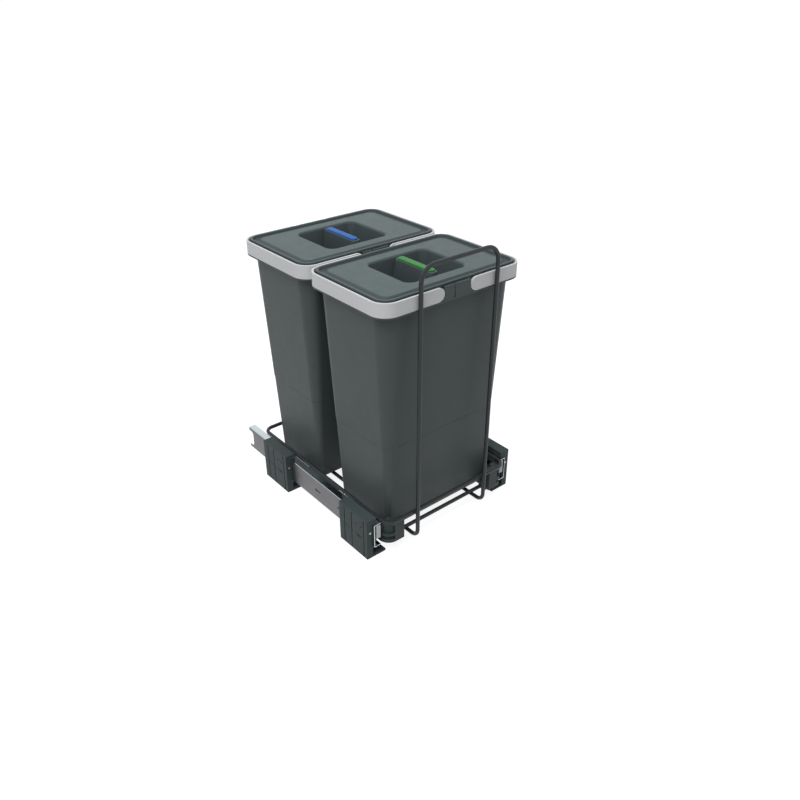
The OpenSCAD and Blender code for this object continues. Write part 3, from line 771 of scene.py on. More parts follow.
def wire_seed(name: str, paths: Sequence[WirePath], nip_mm: float = 0.7, nip: float = 0.78) -> Mesh:
    """Lays edges along paths, with a taper value that rounds the free ends.

    Args:
        name: Name of the mesh.
        paths: The wires' paths.
        nip_mm: Length over which a free end is drawn in.
        nip: Share of the radius that is left at the end.

    Returns:
        The mesh of edges.
    """
    points: list[Vector] = []
    edges: list[tuple[int, int]] = []
    taper: list[float] = []
    for path in paths:
        run = list(path.points)
        widths = [1.0] * len(run)
        if not path.closed:
            run.insert(1, run[0] + (run[1] - run[0]).normalized() * nip_mm)
            run.insert(-1, run[-1] + (run[-2] - run[-1]).normalized() * nip_mm)
            widths = [nip] + [1.0] * (len(run) - 2) + [nip]
        first = len(points)
        points += [p * MM for p in run]
        taper += widths
        edges += [(first + k, first + k + 1) for k in range(len(run) - 1)]
        if path.closed:
            edges.append((first + len(run) - 1, first))
    mesh = bpy.data.meshes.new(name)
    mesh.from_pydata(points, edges, [])
    mesh.attributes.new("taper", "FLOAT", "POINT").data.foreach_set("value", taper)
    return mesh


def point_seed(name: str, points: Sequence[Vector], turns: Sequence[Vector]) -> Mesh:
    """Makes a mesh of loose points, each with the turn of its copy.

    Args:
        name: Name of the mesh.
        points: Places of the copies.
        turns: Their turns about X, Y and Z, in radians.

    Returns:
        The mesh of points.
    """
    mesh = bpy.data.meshes.new(name)
    mesh.from_pydata([p * MM for p in points], [], [])
    flat = [value for turn in turns for value in turn]
    mesh.attributes.new("turn", "FLOAT_VECTOR", "POINT").data.foreach_set("vector", flat)
    return mesh


class Workshop:
    """What every sub-assembly needs: the frame, the material of each slot and the shared trees."""

    def __init__(self, frame: dict) -> None:
        """Makes the materials and trees.
        """
        self.bodies = frame["record"]["behaviour"]["bodies"]
        self.nodes = frame["nodes"]
        self.materials = {slot: finish.build() for slot, finish in FINISHES.items()}
        self.wires = WireTree()
        self.copies = ScatterTree()

    def stand_in(self, node: str, ending: str, mesh: Mesh, slot: str) -> Object:
        """Publishes a mesh as the piece that stands in for a node.

        Args:
            node: Name of the node.
            ending: What the piece's name adds to it.
            mesh: Mesh in the unit's own frame, in metres.
            slot: Slot of the record, whose finish gives the material.

        Returns:
            The new piece.
        """
        body = next(body for body, nodes in self.bodies.items() if node in nodes)
        piece = publish(node + ending, mesh, self.materials[slot], body)
        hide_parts(node)
        return piece

    def copied(
        self, name: str, model: Mesh, points: Sequence[Vector], turns: Sequence[Vector], slot: str
    ) -> Mesh:
        """Makes one mesh of copies of a model.

        Args:
            name: Name of the new mesh.
            model: The model's mesh.
            points: Places of the copies.
            turns: Their turns about X, Y and Z, in radians.
            slot: Slot that gives the material.

        Returns:
            The mesh.
        """
        loose = bpy.data.objects.new(model.name, model)
        values = {"Model": loose, "Material": self.materials[slot]}
        mesh = self.copies.grow(point_seed(name, points, turns), name, values)
        bpy.data.objects.remove(loose)
        return mesh

    def softened(
        self, node: str, slot: str, width_mm: float, segments: int = 2, rolled_mm: float = 0.0
    ) -> None:
        """Stands a piece with rounded edges in for a node that has the right form.

        Args:
            node: Name of the node.
            slot: Slot of the record, whose finish gives the material.
            width_mm: Width of the rounding.
            segments: Facets across the rounding.
            rolled_mm: Width of the rounding along the outermost long edges, where strip was bent.
        """
        shape = bmesh.new()
        shape.from_mesh(self.nodes[node].data)
        bmesh.ops.remove_doubles(shape, verts=shape.verts, dist=SAME_CAD_POINT)
        flat = math.radians(FLAT_DEG)
        bmesh.ops.dissolve_limit(shape, angle_limit=flat, verts=shape.verts, edges=shape.edges)
        bmesh.ops.connect_verts_concave(shape, faces=shape.faces)
        for face in shape.faces:
            face.smooth = True
        if rolled_mm:
            weigh_bends(shape, width_mm / rolled_mm)
        mesh = bpy.data.meshes.new(node + "_made")
        shape.to_mesh(mesh)
        shape.free()
        piece = self.stand_in(node, "_made", mesh, slot)
        round_edges(piece, rolled_mm or width_mm, segments, weighed=rolled_mm > 0)
        even_shading(piece)


@dataclass
class BinForm:
    """Sizes of a bin that its body, lid and bails share. Insets are taken from the bails' outside."""

    half_x: float = 145.0
    half_y: float = 96.15
    top_z: float = 457.8
    band_h: float = 22.5
    band_t: float = 3.5
    rim_radius: float = 28.0
    pivot_x: float = 38.0
    body_corner_x: float = 106.7
    body_corner_y: float = 57.85
    body_radius: float = 27.0
    draft: float = 0.048
    shelf_t: float = 3.0

    @property
    def shelf_z(self) -> float:
        """Returns the height of the shelf that the bails and the lid stand on."""
        return self.top_z - self.band_h

    @property
    def pivot_z(self) -> float:
        """Returns the height of the bails' pins, at the middle of the band."""
        return self.top_z - self.band_h / 2

    def rim(self, inset: float, z: float) -> Ring:
        """Returns a ring that follows the rim at an inset."""
        return Ring(self.half_x, self.half_y, self.rim_radius, z).drawn_in(inset, z)

    def body(self, z: float, inset: float = 0.0) -> Ring:
        """Returns a ring on the tapered body, or inside it by an inset."""
        radius = self.body_radius - self.draft * (self.shelf_z - self.shelf_t - z) - inset
        return Ring(self.body_corner_x + radius, self.body_corner_y + radius, radius, z)


@dataclass
class BinBody:
    """The tapered bin: body, shelf, rim wall and the filler between the bails."""

    shop: Workshop
    form: BinForm
    wall: float = 2.2
    step_z: float = 196.0
    step: float = 0.7
    step_groove: float = 0.35
    step_half_h: float = 0.6
    step_start: float = 2.0
    floor_t: float = 2.5
    foot: float = 3.0
    heart: float = 20.0
    heart_radius: float = 1.0
    wall_gap: float = 4.0
    wall_t: float = 2.2
    wall_top_drop: float = 5.0
    filler_drop: float = 0.6
    filler_root: float = 0.2
    eye_room: float = 12.25
    eye_steps: int = 8
    split_x: float = 6.0
    split: float = 1.4
    split_depth: float = 1.6
    web_gap: float = 0.1

    def build(self, place: Place) -> None:
        """Builds the piece for one bin and stands it in for its node.

        Args:
            place: Front or rear.
        """
        node = place.value + "_bin"
        solid = Solid(centre_mm(node))
        solid.loft(self.shell(box_mm(node)[0].z))
        self.fillers(solid)
        even_shading(self.shop.stand_in(node, "_shell", solid.mesh(node + "_shell"), "bin"))

    def shell(self, bottom: float) -> Wall:
        """Goes from the outside of the floor, over the rim, to the inside of the floor.

        Args:
            bottom: Height of the bin's underside.

        Returns:
            The wall.
        """
        form, shelf, floor = self.form, self.form.shelf_z, bottom + self.floor_t
        under_shelf, rim_top = shelf - form.shelf_t, form.top_z - self.wall_top_drop
        foot = form.body(bottom + self.foot, self.step)
        sole = foot.drawn_in(self.foot, bottom)
        inner_foot = form.body(floor + self.foot, self.step + self.wall)
        inner_sole = inner_foot.drawn_in(self.foot, floor)
        low, high = self.step_z - self.step_half_h, self.step_z + self.step_half_h
        wall_in = self.wall_gap + self.wall_t
        return [
            (sole.drawn_in(self.heart, bottom, self.heart_radius), 0.0),
            (sole, 2.5),
            (foot, 2.5),
            (form.body(self.step_z - self.step_start, self.step), 0.6),
            (form.body(low, self.step + self.step_groove), 0.5),
            (form.body(high), 0.6),
            (form.body(under_shelf), 1.6),
            (form.rim(0.0, under_shelf), 1.1),
            (form.rim(0.0, shelf), 0.7),
            (form.rim(self.wall_gap, shelf), 0.5),
            (form.rim(self.wall_gap, rim_top), 0.8),
            (form.rim(wall_in, rim_top), 0.8),
            (form.rim(wall_in, shelf), 0.8),
            (form.body(shelf, self.wall), 1.2),
            (form.body(high - self.wall, self.wall), 0.9),
            (form.body(low - self.step_half_h - self.wall, self.step + self.wall), 0.9),
            (inner_foot, 2.5),
            (inner_sole, 2.5),
            (inner_sole.drawn_in(self.heart, floor, self.heart_radius), 0.0),
        ]

    def fillers(self, solid: Solid) -> None:
        """Adds the filler between the bails' eyes on both long sides, with its narrow split.

        Args:
            solid: Mesh that takes the faces.
        """
        deep = self.wall_gap + self.wall_t
        for facing in (-1, 1):
            outer, middle = facing * self.form.half_y, facing * self.split_x
            for sign in (-1, 1):
                near = middle + sign * self.split / 2
                outline = [Vector((x, 0, z)) for x, z in self.filler_edge(sign)]
                outline += [Vector((near, 0, outline[-1].z)), Vector((near, 0, outline[0].z))]
                solid.slab(outline, outer, outer - facing * deep)
            web = [Vector((middle + x, 0, z)) for x, z in self.web_edge()]
            solid.slab(web, outer - facing * self.split_depth, outer - facing * (deep - self.web_gap))

    def filler_edge(self, sign: int) -> list[tuple[float, float]]:
        """Follows a filler's outer edge upward: round below the pivot and straight above it.

        Args:
            sign: Left or right of the filler, as the sign of X.

        Returns:
            Points of the edge in X and Z.
        """
        form, low, made = self.form, self.form.shelf_z - self.filler_root, []
        for step in range(self.eye_steps + 1):
            z = low + (form.pivot_z - low) * step / self.eye_steps
            reach = math.sqrt(max(self.eye_room**2 - (form.pivot_z - z) ** 2, 0.0))
            made.append((sign * (form.pivot_x - reach), z))
        return made + [(made[-1][0], form.top_z - self.filler_drop)]

    def web_edge(self) -> list[tuple[float, float]]:
        """Returns the outline of the web behind the filler's split."""
        low, high = self.form.shelf_z - self.filler_root, self.form.top_z - 2 * self.filler_drop
        return [(-self.split, low), (self.split, low), (self.split, high), (-self.split, high)]


@dataclass
class Bail:
    """One carry bail: half of the rim band, with a round eye and a pin at each tip."""

    shop: Workshop
    form: BinForm
    edge: float = 0.8
    edge_deg: float = 40.0
    eye_slack: float = 0.25
    eye_degs: tuple[float, ...] = (8, 16, 25, 35, 45, 56, 68, 79, 90)
    pin_radius: float = 4.45
    pin_length: float = 2.85
    pin_root: float = 0.4
    pin_facets: int = 24
    corner_steps: int = 14
    least: float = 0.01

    @property
    def tip(self) -> float:
        """Returns the radius of the eye at each tip."""
        return self.form.band_h / 2 - self.eye_slack

    def build(self, place: Place, side: Side) -> None:
        """Builds one bail and stands it in for its node.

        Args:
            place: Front or rear.
            side: Left or right.
        """
        node = f"{place.value}_bail_{side.tail}"
        solid = Solid(centre_mm(node))
        solid.tube([solid.row(self.section(outer, inner)) for outer, inner in self.stations(side)])
        for facing in (-1, 1):
            self.pin(solid, side, facing)
        piece = self.shop.stand_in(node, "_band", solid.mesh(node + "_band"), "bail")
        round_edges(piece, self.edge, 3, self.edge_deg)
        even_shading(piece)

    def stations(self, side: Side) -> list[tuple[Vector, Vector]]:
        """Follows the band in plan from the front tip to the rear tip.

        Args:
            side: Left or right.

        Returns:
            Matching points on its outer and inner outline.
        """
        form = self.form
        made = []
        for degrees in self.eye_degs:
            x = form.pivot_x - self.tip * math.cos(math.radians(degrees))
            made.append((Vector((x, form.half_y, 0)), Vector((x, form.half_y - form.band_t, 0))))
        middle = Vector((form.half_x - form.rim_radius, form.half_y - form.rim_radius, 0))
        for step in range(self.corner_steps + 1):
            angle = math.radians(90 * (1 - step / self.corner_steps))
            outward = Vector((math.cos(angle), math.sin(angle), 0))
            radii = (form.rim_radius, form.rim_radius - form.band_t)
            made.append(tuple(middle + outward * radius for radius in radii))
        both = [(-1, pair) for pair in made] + [(1, pair) for pair in reversed(made)]
        return [tuple(Vector((p.x * side.value, p.y * facing, 0)) for p in pair) for facing, pair in both]

    def section(self, outer: Vector, inner: Vector) -> list[Vector]:
        """Cuts the band at one station.

        Args:
            outer: Point on its outer outline in plan.
            inner: Point on its inner outline.

        Returns:
            The four corners of the section.
        """
        beyond, least = self.form.pivot_x - abs(outer.x), self.least
        half = math.sqrt(max(self.tip**2 - beyond**2, least)) if beyond > least else self.form.band_h / 2
        low, high = (Vector((0, 0, self.form.pivot_z + half * way)) for way in (-1, 1))
        return [outer + low, outer + high, inner + high, inner + low]

    def pin(self, solid: Solid, side: Side, facing: int) -> None:
        """Adds the pin that turns in the bin's rim wall.

        Args:
            solid: Mesh that takes the pin.
            side: Left or right.
            facing: Front or rear tip, as the sign of Y.
        """
        form, radius, length = self.form, self.pin_radius * MM, self.pin_length + self.pin_root
        y = facing * (form.half_y - form.band_t + self.pin_root - length / 2)
        place = solid.centre + Vector((side.value * form.pivot_x, y, form.pivot_z))
        turned = Matrix.Translation(place * MM) @ Matrix.Rotation(math.radians(90), 4, "X")
        sizes = {"radius1": radius, "radius2": radius, "depth": length * MM, "segments": self.pin_facets}
        bmesh.ops.create_cone(solid.shape, cap_ends=True, matrix=turned, **sizes)


@dataclass
class Lid:
    """The lid: edge rib, channel, raised panel, finger pocket, grip bar and its insert."""

    shop: Workshop
    form: BinForm
    skirt_inset: float = 7.0
    skirt_t: float = 2.0
    rib_w: float = 4.0
    rib_lean: float = 1.0
    rib_top: float = 459.8
    channel_z: float = 454.3
    panel_inset: float = 20.0
    panel_z: float = 458.3
    panel_radius: float = 15.0
    panel_lean: float = 2.5
    panel_foot: float = 1.0
    sheet: float = 2.2
    heart: float = 25.0
    heart_radius: float = 2.0
    pocket_x: float = 60.0
    pocket_y: float = 52.0
    pocket_radius: float = 13.0
    pocket_lean: float = 6.0
    pocket_depth: float = 34.0
    lip: float = 3.0
    lip_foot: float = 0.6
    lip_drop: float = 1.8
    # Painted shade: the height over which the panel's sides fade into it, the share of the lid colour left on
    # the rib, and the rib's reach down from its top and in from the panel's edge
    tone_drop: float = 2.2
    rib_tone: float = 0.45
    rib_tone_drop: float = 3.5
    rib_tone_in: float = 2.0
    grip_x: float = 8.0
    grip_y: float = 43.5
    grip_lean: float = 5.0
    grip_root: float = 0.6
    grip_radius: float = 5.5
    grip_foot_radius: float = 9.0
    grip_heart: float = 4.0
    grip_steps: int = 8
    insert_x: float = 6.5
    insert_y: float = 40.0
    insert_top: float = 461.0
    insert_radius: float = 5.0
    insert_seat: float = 3.9
    insert_play: float = 0.15
    insert_crown: float = 3.2
    insert_heart: float = 3.0

    def build(self, place: Place) -> None:
        """Builds one lid with its insert and stands them in for their nodes.

        Args:
            place: Front or rear.
        """
        node = place.value + "_lid"
        centre = centre_mm(node)
        solid = Solid(centre)
        solid.loft(self.shell())
        solid.loft(self.grip(), self.grip_steps)
        mesh = solid.mesh(node + "_shell")
        # Each point's share of the lid colour against the painted shade of the hollows and rib
        tones = [self.tone(vert.co / MM - centre) for vert in mesh.vertices]
        mesh.attributes.new("tone", "FLOAT", "POINT").data.foreach_set("value", tones)
        even_shading(self.shop.stand_in(node, "_shell", mesh, "lid"))
        node, solid = place.value + "_insert", Solid(centre)
        solid.loft(self.insert(), self.grip_steps)
        slot = "insert_green" if place is Place.FRONT else "insert_blue"
        even_shading(self.shop.stand_in(node, "_bar", solid.mesh(node + "_bar"), slot))

    def tone(self, away: Vector) -> float:
        """Gives each part of the lid its share of the lid colour against the painted shade, for its material.

        Args:
            away: A point, from the lid's middle in plan.

        Returns:
            1 on the raised panel, less down its sides, a middle value on the rib and 0, full painted shade,
            in the channel, the pocket and the grip.
        """
        x, y, inset = abs(away.x), abs(away.y), self.panel_inset - self.rib_tone_in
        on_rib = x > self.form.half_x - inset or y > self.form.half_y - inset
        if on_rib and away.z > self.rib_top - self.rib_tone_drop:
            return self.rib_tone
        if on_rib or (x < self.grip_x + self.grip_lean and y < self.grip_y + self.grip_lean):
            return 0.0
        return min(1.0, max(0.0, (away.z - self.panel_z + self.tone_drop) / self.tone_drop))

    def pocket(self, depth: float, grow: float = 0.0) -> Ring:
        """Returns the pocket's ring at a depth below the panel, or the same grown by a wall."""
        lean, z = self.pocket_lean * depth / self.pocket_depth, self.panel_z - depth
        return Ring(self.pocket_x, self.pocket_y, self.pocket_radius, z).drawn_in(lean - grow, z)

    def panel(self, lean: float, z: float) -> Ring:
        """Returns the raised panel's ring, drawn in by a lean."""
        return self.form.rim(self.panel_inset + lean, z).drawn_in(0.0, z, self.panel_radius - lean)

    def shell(self) -> Wall:
        """Goes from under the pocket, round the skirt, to the pocket's floor.

        Returns:
            The wall.
        """
        form, sheet, depth = self.form, self.sheet, self.pocket_depth
        outer, inner, rib = self.skirt_inset, self.skirt_inset + self.skirt_t, self.skirt_inset + self.rib_w
        under, lip, floor = self.channel_z - sheet, self.pocket(0.0), self.pocket(depth)
        bed = self.pocket(depth, sheet).drawn_in(0.0, floor.z - sheet)
        return [
            (bed.drawn_in(self.heart, bed.z, self.heart_radius), 0.0),
            (bed, 3.5),
            (self.pocket(sheet, sheet), 1.0),
            (self.panel(self.panel_lean + sheet, self.panel_z - sheet), 1.2),
            (self.panel(sheet, under), 1.0),
            (form.rim(inner, under), 1.0),
            (form.rim(inner, form.shelf_z), 0.4),
            (form.rim(outer, form.shelf_z), 0.4),
            (form.rim(outer, self.rib_top), 1.5),
            (form.rim(rib, self.rib_top), 1.5),
            (form.rim(rib + self.rib_lean, self.channel_z), 1.6),
            (self.panel(-self.panel_foot, self.channel_z), 1.6),
            (self.panel(self.panel_lean, self.panel_z), 1.6),
            (lip.drawn_in(-self.lip, self.panel_z), 0.9),
            (lip.drawn_in(-self.lip_foot, self.panel_z - self.lip_drop), 2.0),
            (floor, 4.0),
            (floor.drawn_in(self.heart, floor.z, self.heart_radius), 0.0),
        ]

    def grip(self) -> Wall:
        """Rises from the pocket's floor as the grip bar and goes down into the insert's seat.

        Returns:
            The wall.
        """
        top, seat_z, play = self.panel_z, self.panel_z - self.insert_seat, self.insert_play
        base_z = top - self.pocket_depth - self.grip_root
        lean, radius = self.grip_lean, self.grip_foot_radius
        base = Ring(self.grip_x + lean, self.grip_y + lean, radius, base_z)
        seat = Ring(self.insert_x + play, self.insert_y + play, self.insert_radius, seat_z)
        return [
            (base.drawn_in(self.grip_heart, base_z), 0.0),
            (base, 0.0),
            (Ring(self.grip_x, self.grip_y, self.grip_radius, top), 1.6),
            (seat.drawn_in(0.0, top), 0.3),
            (seat, 0.0),
            (seat.drawn_in(self.insert_heart + play, seat_z, 1.0), 0.0),
        ]

    def insert(self) -> Wall:
        """Goes round the coloured insert, which is crowned along its top.

        Returns:
            The wall.
        """
        base, top = self.panel_z - self.insert_seat, self.insert_top
        foot = Ring(self.insert_x, self.insert_y, self.insert_radius, base)
        return [
            (foot.drawn_in(2.0, base, 2.0), 0.0),
            (foot, 0.3),
            (foot.drawn_in(0.0, top - 0.3), 1.7),
            (foot.drawn_in(self.insert_crown, top, 1.6), 0.0),
        ]


@dataclass
class WireTray:
    """The guard loop, the pull handle with its runners, the cross wires and their welds."""

    shop: Workshop
    radius: float = 3.5
    sides: int = 28
    loop_bend: float = 16.0
    handle_bend: float = 25.0
    foot_bend: float = 15.0
    cross_ys: tuple[float, ...] = (3.2, 40.2, 112.2, 236.2, 308.2)
    cross_halves: tuple[float, ...] = (118.0, 112.0, 112.0, 112.0, 112.0)
    bead: float = 2.6
    bead_bump: float = 0.12
    bead_ripples: Triple = (2600.0, 2100.0, 1900.0)
    bead_turn: Triple = (0.4, 0.7, 0.3)

    def build(self) -> None:
        """Builds every wire and the weld beads between them."""
        self.loop()
        self.handle()
        self.crossings()
        self.rear_guard()
        self.welds()

    def sweep(self, node: str, paths: Sequence[WirePath]) -> None:
        """Sweeps the wire along paths and stands it in for a node.

        Args:
            node: Name of the node.
            paths: The wire's paths.
        """
        material = self.shop.materials["wire"]
        values = {"Wire radius": self.radius * MM, "Sides": self.sides, "Material": material}
        mesh = self.shop.wires.grow(wire_seed(node, paths), node + "_wire", values)
        self.shop.stand_in(node, "_wire", mesh, "wire")

    def loop(self) -> None:
        """Builds the guard loop round the feet of the bins."""
        low, high = box_mm("guard_loop")
        inset = Vector((self.radius, self.radius, 0.0))
        near, far, z = low + inset, high - inset, (low.z + high.z) / 2
        plan = ((near.x, near.y), (far.x, near.y), (far.x, far.y), (near.x, far.y))
        path = WirePath.bent([Vector((*place, z)) for place in plan], [self.loop_bend] * 4, closed=True)
        self.sweep("guard_loop", [path])

    def handle(self) -> None:
        """Builds the handle and runners, which are one bent wire."""
        low, high = box_mm("handle_wire")
        r = self.radius
        x, front, rear, base, top = high.x - r, low.y + r, high.y - r, low.z + r, high.z - r
        run = ((rear, box_mm("guard_loop")[1].z), (rear, base), (front, base), (front, top))
        right = [Vector((x, y, z)) for y, z in run]
        left = [Vector((-p.x, p.y, p.z)) for p in reversed(right)]
        bends = [0.0, self.foot_bend, self.foot_bend, self.handle_bend]
        self.sweep("handle_wire", [WirePath.bent(right + left, bends + bends[::-1])])

    def crossings(self) -> None:
        """Builds the cross wires that carry the bins."""
        low, high = box_mm("cross_wires")
        z, places = (low.z + high.z) / 2, zip(self.cross_ys, self.cross_halves)
        paths = [WirePath.across(-half, half, y + FRONT_FACE, z) for y, half in places]
        self.sweep("cross_wires", paths)

    def rear_guard(self) -> None:
        """Builds the short guard wire behind the rear bin."""
        low, high = box_mm("rear_guard_wire")
        y, z = (low.y + high.y) / 2, (low.z + high.z) / 2
        self.sweep("rear_guard_wire", [WirePath.across(low.x, high.x, y, z)])

    def welds(self) -> None:
        """Sets a weld bead wherever two wires touch."""
        low, high = box_mm("handle_wire")
        rings = ("guard_loop", "rear_guard_wire")
        loop_z, guard_z = (sum(end.z for end in box_mm(node)) / 2 for node in rings)
        cross_low = box_mm("cross_wires")[0].z
        places = [(y + FRONT_FACE, cross_low) for y in self.cross_ys]
        places += [(low.y + 2 * self.radius, loop_z), (high.y, loop_z), (high.y, guard_z)]
        x = high.x - self.radius
        points = [Vector((sign * x, y, z)) for sign in (-1, 1) for y, z in places]
        solid = Solid()
        bmesh.ops.create_icosphere(solid.shape, subdivisions=3, radius=self.bead * MM)
        for vert in solid.shape.verts:
            x, y, z = (place * ripple for place, ripple in zip(vert.co, self.bead_ripples))
            vert.co *= 1 + self.bead_bump * math.sin(x + 1.0) * math.cos(y) * math.sin(z + 0.5)
        turns = [Vector(self.bead_turn) * k for k in range(len(points))]
        mesh = self.shop.copied("weld_beads", solid.mesh("weld_bead_model"), points, turns, "wire")
        publish("weld_beads", mesh, self.shop.materials["wire"], "tray")


@dataclass(frozen=True)
class ScrewModel:
    """A pan-head screw with a cross recess, its head up and the seat at the origin."""

    head_radius: float
    head_height: float
    shank_radius: float
    shank_length: float
    recess_depth: float = 1.0
    facets: int = 24

    def build(self) -> Mesh:
        """Makes the screw.

        Returns:
            Its mesh, which the copy tree sets.
        """
        solid = Solid()
        head, height, shank, foot = self.head_radius, self.head_height, self.shank_radius, -self.shank_length
        profile = (
            (shank * 0.6, foot), (shank, foot + shank * 0.5), (shank, 0.0), (head, 0.0),
            (head, height * 0.45), (head * 0.9, height * 0.8), (head * 0.7, height),
        )
        spin = [Matrix.Rotation(2 * math.pi * k / self.facets, 3, "Z") for k in range(self.facets)]
        rows = [solid.row(turn @ Vector((x, 0, z)) for turn in spin) for x, z in profile]
        solid.skin(rows)
        solid.shape.faces.new(rows[0])
        self.recess_into(solid, rows[-1])
        return solid.mesh("screw_model", smooth=False)

    def recess_into(self, solid: Solid, rim: list[BMVert]) -> None:
        """Closes the head's top with a sunk cross.

        Args:
            solid: Mesh that takes the faces.
            rim: The top row of the head.
        """
        long, thin = self.head_radius * 0.5, self.head_radius * 0.13
        outline = [(long, -thin), (long, thin), (thin, thin), (thin, long), (-thin, long), (-thin, thin)]
        outline += [(-x, -y) for x, y in outline]
        levels = ((1.0, self.head_height), (0.8, self.head_height - self.recess_depth))
        upper, lower = (
            solid.row(Vector((x * share, y * share, z)) for x, y in outline) for share, z in levels
        )
        shape = solid.shape
        edges = [shape.edges.get((rim[k - 1], rim[k])) for k in range(len(rim))]
        edges += [shape.edges.new((upper[k - 1], upper[k])) for k in range(len(upper))]
        bmesh.ops.triangle_fill(shape, use_beauty=True, use_dissolve=False, edges=edges)
        solid.skin((upper, lower))
        shape.faces.new(lower)


@dataclass
class Slides:
    """Both ball-bearing slides with their cages, balls, stops, end blocks and screws."""

    shop: Workshop
    ball_radius: float = 2.38
    ball_count: int = 8
    ball_turn: Triple = (0.3, 0.0, 0.5)
    slide_z: float = 45.4
    slide_x: float = 153.95
    slide_ys: tuple[float, ...] = (20.0, 57.0, 263.0, 300.0)
    support_x: float = 135.0
    support_ys: tuple[float, ...] = (40.0, 54.0, 136.0, 194.0)
    lock_x: float = 160.3
    lock_z: float = 53.0
    lock_ys: tuple[float, ...] = (0.0, 243.0)
    lock_screw: ScrewModel = ScrewModel(2.0, 0.7, 1.5, 10.0, 0.5)
    slide_screw: ScrewModel = ScrewModel(3.1, 0.02, 1.9, 8.0)
    support_screw: ScrewModel = ScrewModel(3.8, 2.4, 2.0, 6.5, 1.4)
    strip_edge: float = 0.3
    rolled_edge: float = 1.9
    # Stem of each further node, its slot, the width of its rounding and the facets across it
    rounded: tuple[tuple[str, str, float, int], ...] = (
        ("slide_middle_", "zinc", strip_edge, 2),
        ("slide_inner_", "zinc", strip_edge, 2),
        ("outer_cage_", "cage", 0.12, 1),
        ("inner_cage_", "cage", 0.12, 1),
        ("rear_stop_", "stop", 1.0, 3),
        ("catch_", "catch", 0.6, 3),
    )

    def build(self) -> None:
        """Builds every piece of both slides."""
        for side in Side:
            tail = side.tail
            self.shop.softened("slide_outer_" + tail, "zinc", self.strip_edge, 3, self.rolled_edge)
            for stem, slot, width, facets in self.rounded:
                self.shop.softened(stem + tail, slot, width, facets)
            for layer in ("outer", "inner"):
                self.balls(f"{layer}_balls_{tail}")
        for side in Side:
            self.screws(side)

    def balls(self, node: str) -> None:
        """Sets the balls of one cage.

        Args:
            node: Node of the balls.
        """
        low, high = box_mm(node)
        r, count = self.ball_radius, self.ball_count
        ys = [low.y + r + (high.y - low.y - 2 * r) * k / (count - 1) for k in range(count)]
        points = [Vector(((low.x + high.x) / 2, y, z)) for y in ys for z in (low.z + r, high.z - r)]
        turns = [Vector(self.ball_turn) * k for k in range(len(points))]
        solid = Solid()
        bmesh.ops.create_uvsphere(solid.shape, u_segments=20, v_segments=12, radius=r * MM)
        mesh = self.shop.copied(node + "_set", solid.mesh("ball_model"), points, turns, "ball")
        self.shop.stand_in(node, "_set", mesh, "ball")

    def screws(self, side: Side) -> None:
        """Sets the screws of one side's slide, brackets and supports.

        Args:
            side: Left or right.
        """
        ahead = Vector((math.pi / 2, 0.3, 0))
        across = Vector((0, -side.value * math.pi / 2, 0))
        for kind, model, x, ys, z, turn in (
            ("lock", self.lock_screw, self.lock_x, self.lock_ys, self.lock_z, ahead),
            ("slide", self.slide_screw, self.slide_x, self.slide_ys, self.slide_z, across),
            ("support", self.support_screw, self.support_x, self.support_ys, self.slide_z, across),
        ):
            node = f"{kind}_screws_{side.tail}"
            seats = [Vector((side.value * x, y + FRONT_FACE, z)) for y in ys]
            mesh = self.shop.copied(node + "_set", model.build(), seats, [turn] * len(seats), "screw")
            self.shop.stand_in(node, "_set", mesh, "screw")


@dataclass
class Mouldings:
    """The four floor brackets and the four supports under the tray."""

    shop: Workshop
    bracket_edge: float = 0.4
    support_edge: float = 0.9

    def build(self) -> None:
        """Builds every moulding."""
        for tail in ("fl", "fr", "rl", "rr"):
            self.shop.softened("bracket_" + tail, "bracket", self.bracket_edge)
            self.shop.softened("support_" + tail, "support", self.support_edge, 3)


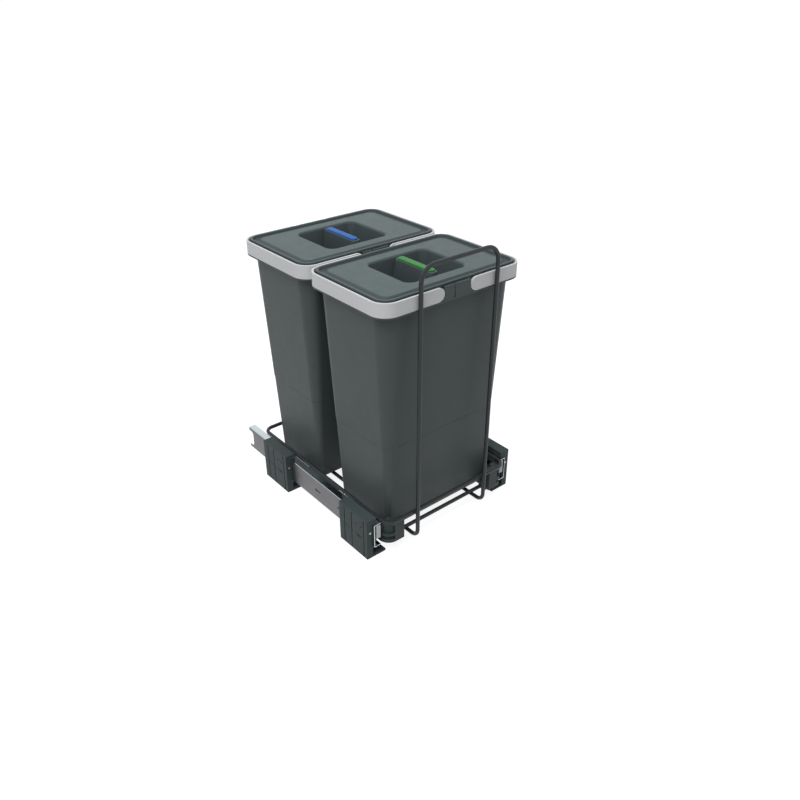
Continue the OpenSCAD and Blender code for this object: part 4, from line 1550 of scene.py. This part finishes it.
@dataclass
class Studio:
    """Pale floor, soft lights and the camera of the photograph."""

    eye: Triple = (-756.7, -973.6, 880.0)
    heading: float = 39.9
    pitch: float = 30.1
    focal_px: float = 771.7
    frame_px: float = 800.0
    sensor_mm: float = 36.0
    floor_size: float = 30.0
    floor_grey: float = 0.42
    floor_glow: float = 0.86
    sky: tuple[float, float, float, float] = (0.95, 0.97, 1.0, 1.0)
    sky_strength: float = 0.42
    aim_z: float = 0.25
    # Name, place and width of each lamp in metres, and its power in watts
    lamps: tuple[tuple[str, Triple, float, float], ...] = (
        ("key", (-1.6, -0.9, 2.3), 1.4, 22.0),
        ("top", (-0.6, -0.3, 2.8), 2.4, 31.0),
    )

    def build(self) -> None:
        """Builds the stage, the world, the lamps and the camera."""
        scene = bpy.context.scene
        scene.view_settings.view_transform = "Standard"
        self.floor()
        self.world(scene)
        for lamp in self.lamps:
            self.lamp(*lamp)
        self.camera(scene)

    def floor(self) -> None:
        """Lays a floor that shows white to the camera and still takes the shadow."""
        solid = Solid()
        bmesh.ops.create_grid(solid.shape, x_segments=2, y_segments=2, size=self.floor_size)
        mesh = solid.mesh("studio_floor")
        floor = bpy.data.objects.new("studio_floor", mesh)
        bpy.context.scene.collection.objects.link(floor)
        shader = Shader("studio_floor")
        strength = shader.math("MULTIPLY", shader.direct_rays(), self.floor_glow)
        glow = shader.node("ShaderNodeEmission", {"Strength": strength})
        matte = shader.node("ShaderNodeBsdfDiffuse", {"Color": (*[self.floor_grey] * 3, 1.0)})
        both = shader.node("ShaderNodeAddShader", {0: matte.outputs[0], 1: glow.outputs[0]})
        mesh.materials.append(shader.finished(both))

    def world(self, scene: bpy.types.Scene) -> None:
        """Gives an even grey light and a white background to the camera.

        Args:
            scene: The scene that takes the world.
        """
        scene.world = bpy.data.worlds.new("studio_world")
        scene.world.use_nodes = True
        tree = TreeWriter(scene.world.node_tree)
        light = tree.node("ShaderNodeBackground", {"Color": self.sky, "Strength": self.sky_strength})
        white = tree.node("ShaderNodeBackground", {"Color": (1.0, 1.0, 1.0, 1.0)})
        inputs = {0: tree.direct_rays(), 1: light.outputs[0], 2: white.outputs[0]}
        tree.node("ShaderNodeOutputWorld", {"Surface": tree.node("ShaderNodeMixShader", inputs).outputs[0]})

    def lamp(self, name: str, place: Triple, size: float, power: float) -> None:
        """Sets a soft square lamp that looks at the unit.

        Args:
            name: Name of the lamp.
            place: Where it hangs, in metres.
            size: Width of its panel, in metres.
            power: Power in watts.
        """
        data = bpy.data.lights.new(name, "AREA")
        data.size = size
        data.energy = power
        lamp = bpy.data.objects.new(name, data)
        lamp.location = place
        lamp.rotation_euler = (Vector((0, 0, self.aim_z)) - Vector(place)).to_track_quat("-Z", "Y").to_euler()
        lamp.visible_glossy = False
        bpy.context.scene.collection.objects.link(lamp)

    def camera(self, scene: bpy.types.Scene) -> None:
        """Sets the camera that was fitted to the photograph.

        Args:
            scene: The scene that takes the camera.
        """
        data = bpy.data.cameras.new("photo_camera")
        data.sensor_width = self.sensor_mm
        data.lens = self.focal_px / self.frame_px * self.sensor_mm
        data.clip_end = 2 * self.floor_size
        camera = bpy.data.objects.new("photo_camera", data)
        camera.location = Vector(self.eye) * MM
        camera.rotation_euler = (math.radians(90 - self.pitch), 0.0, math.radians(-self.heading))
        scene.collection.objects.link(camera)
        scene.camera = camera


def main() -> None:
    """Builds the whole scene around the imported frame."""
    logging.basicConfig(level=logging.INFO, format="%(message)s")
    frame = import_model()
    shop = Workshop(frame)
    form = BinForm()
    for place in Place:
        BinBody(shop, form).build(place)
        Lid(shop, form).build(place)
        for side in Side:
            Bail(shop, form).build(place, side)
    WireTray(shop).build()
    Slides(shop).build()
    Mouldings(shop).build()
    Studio().build()


if __name__ == "__main__":
    main()
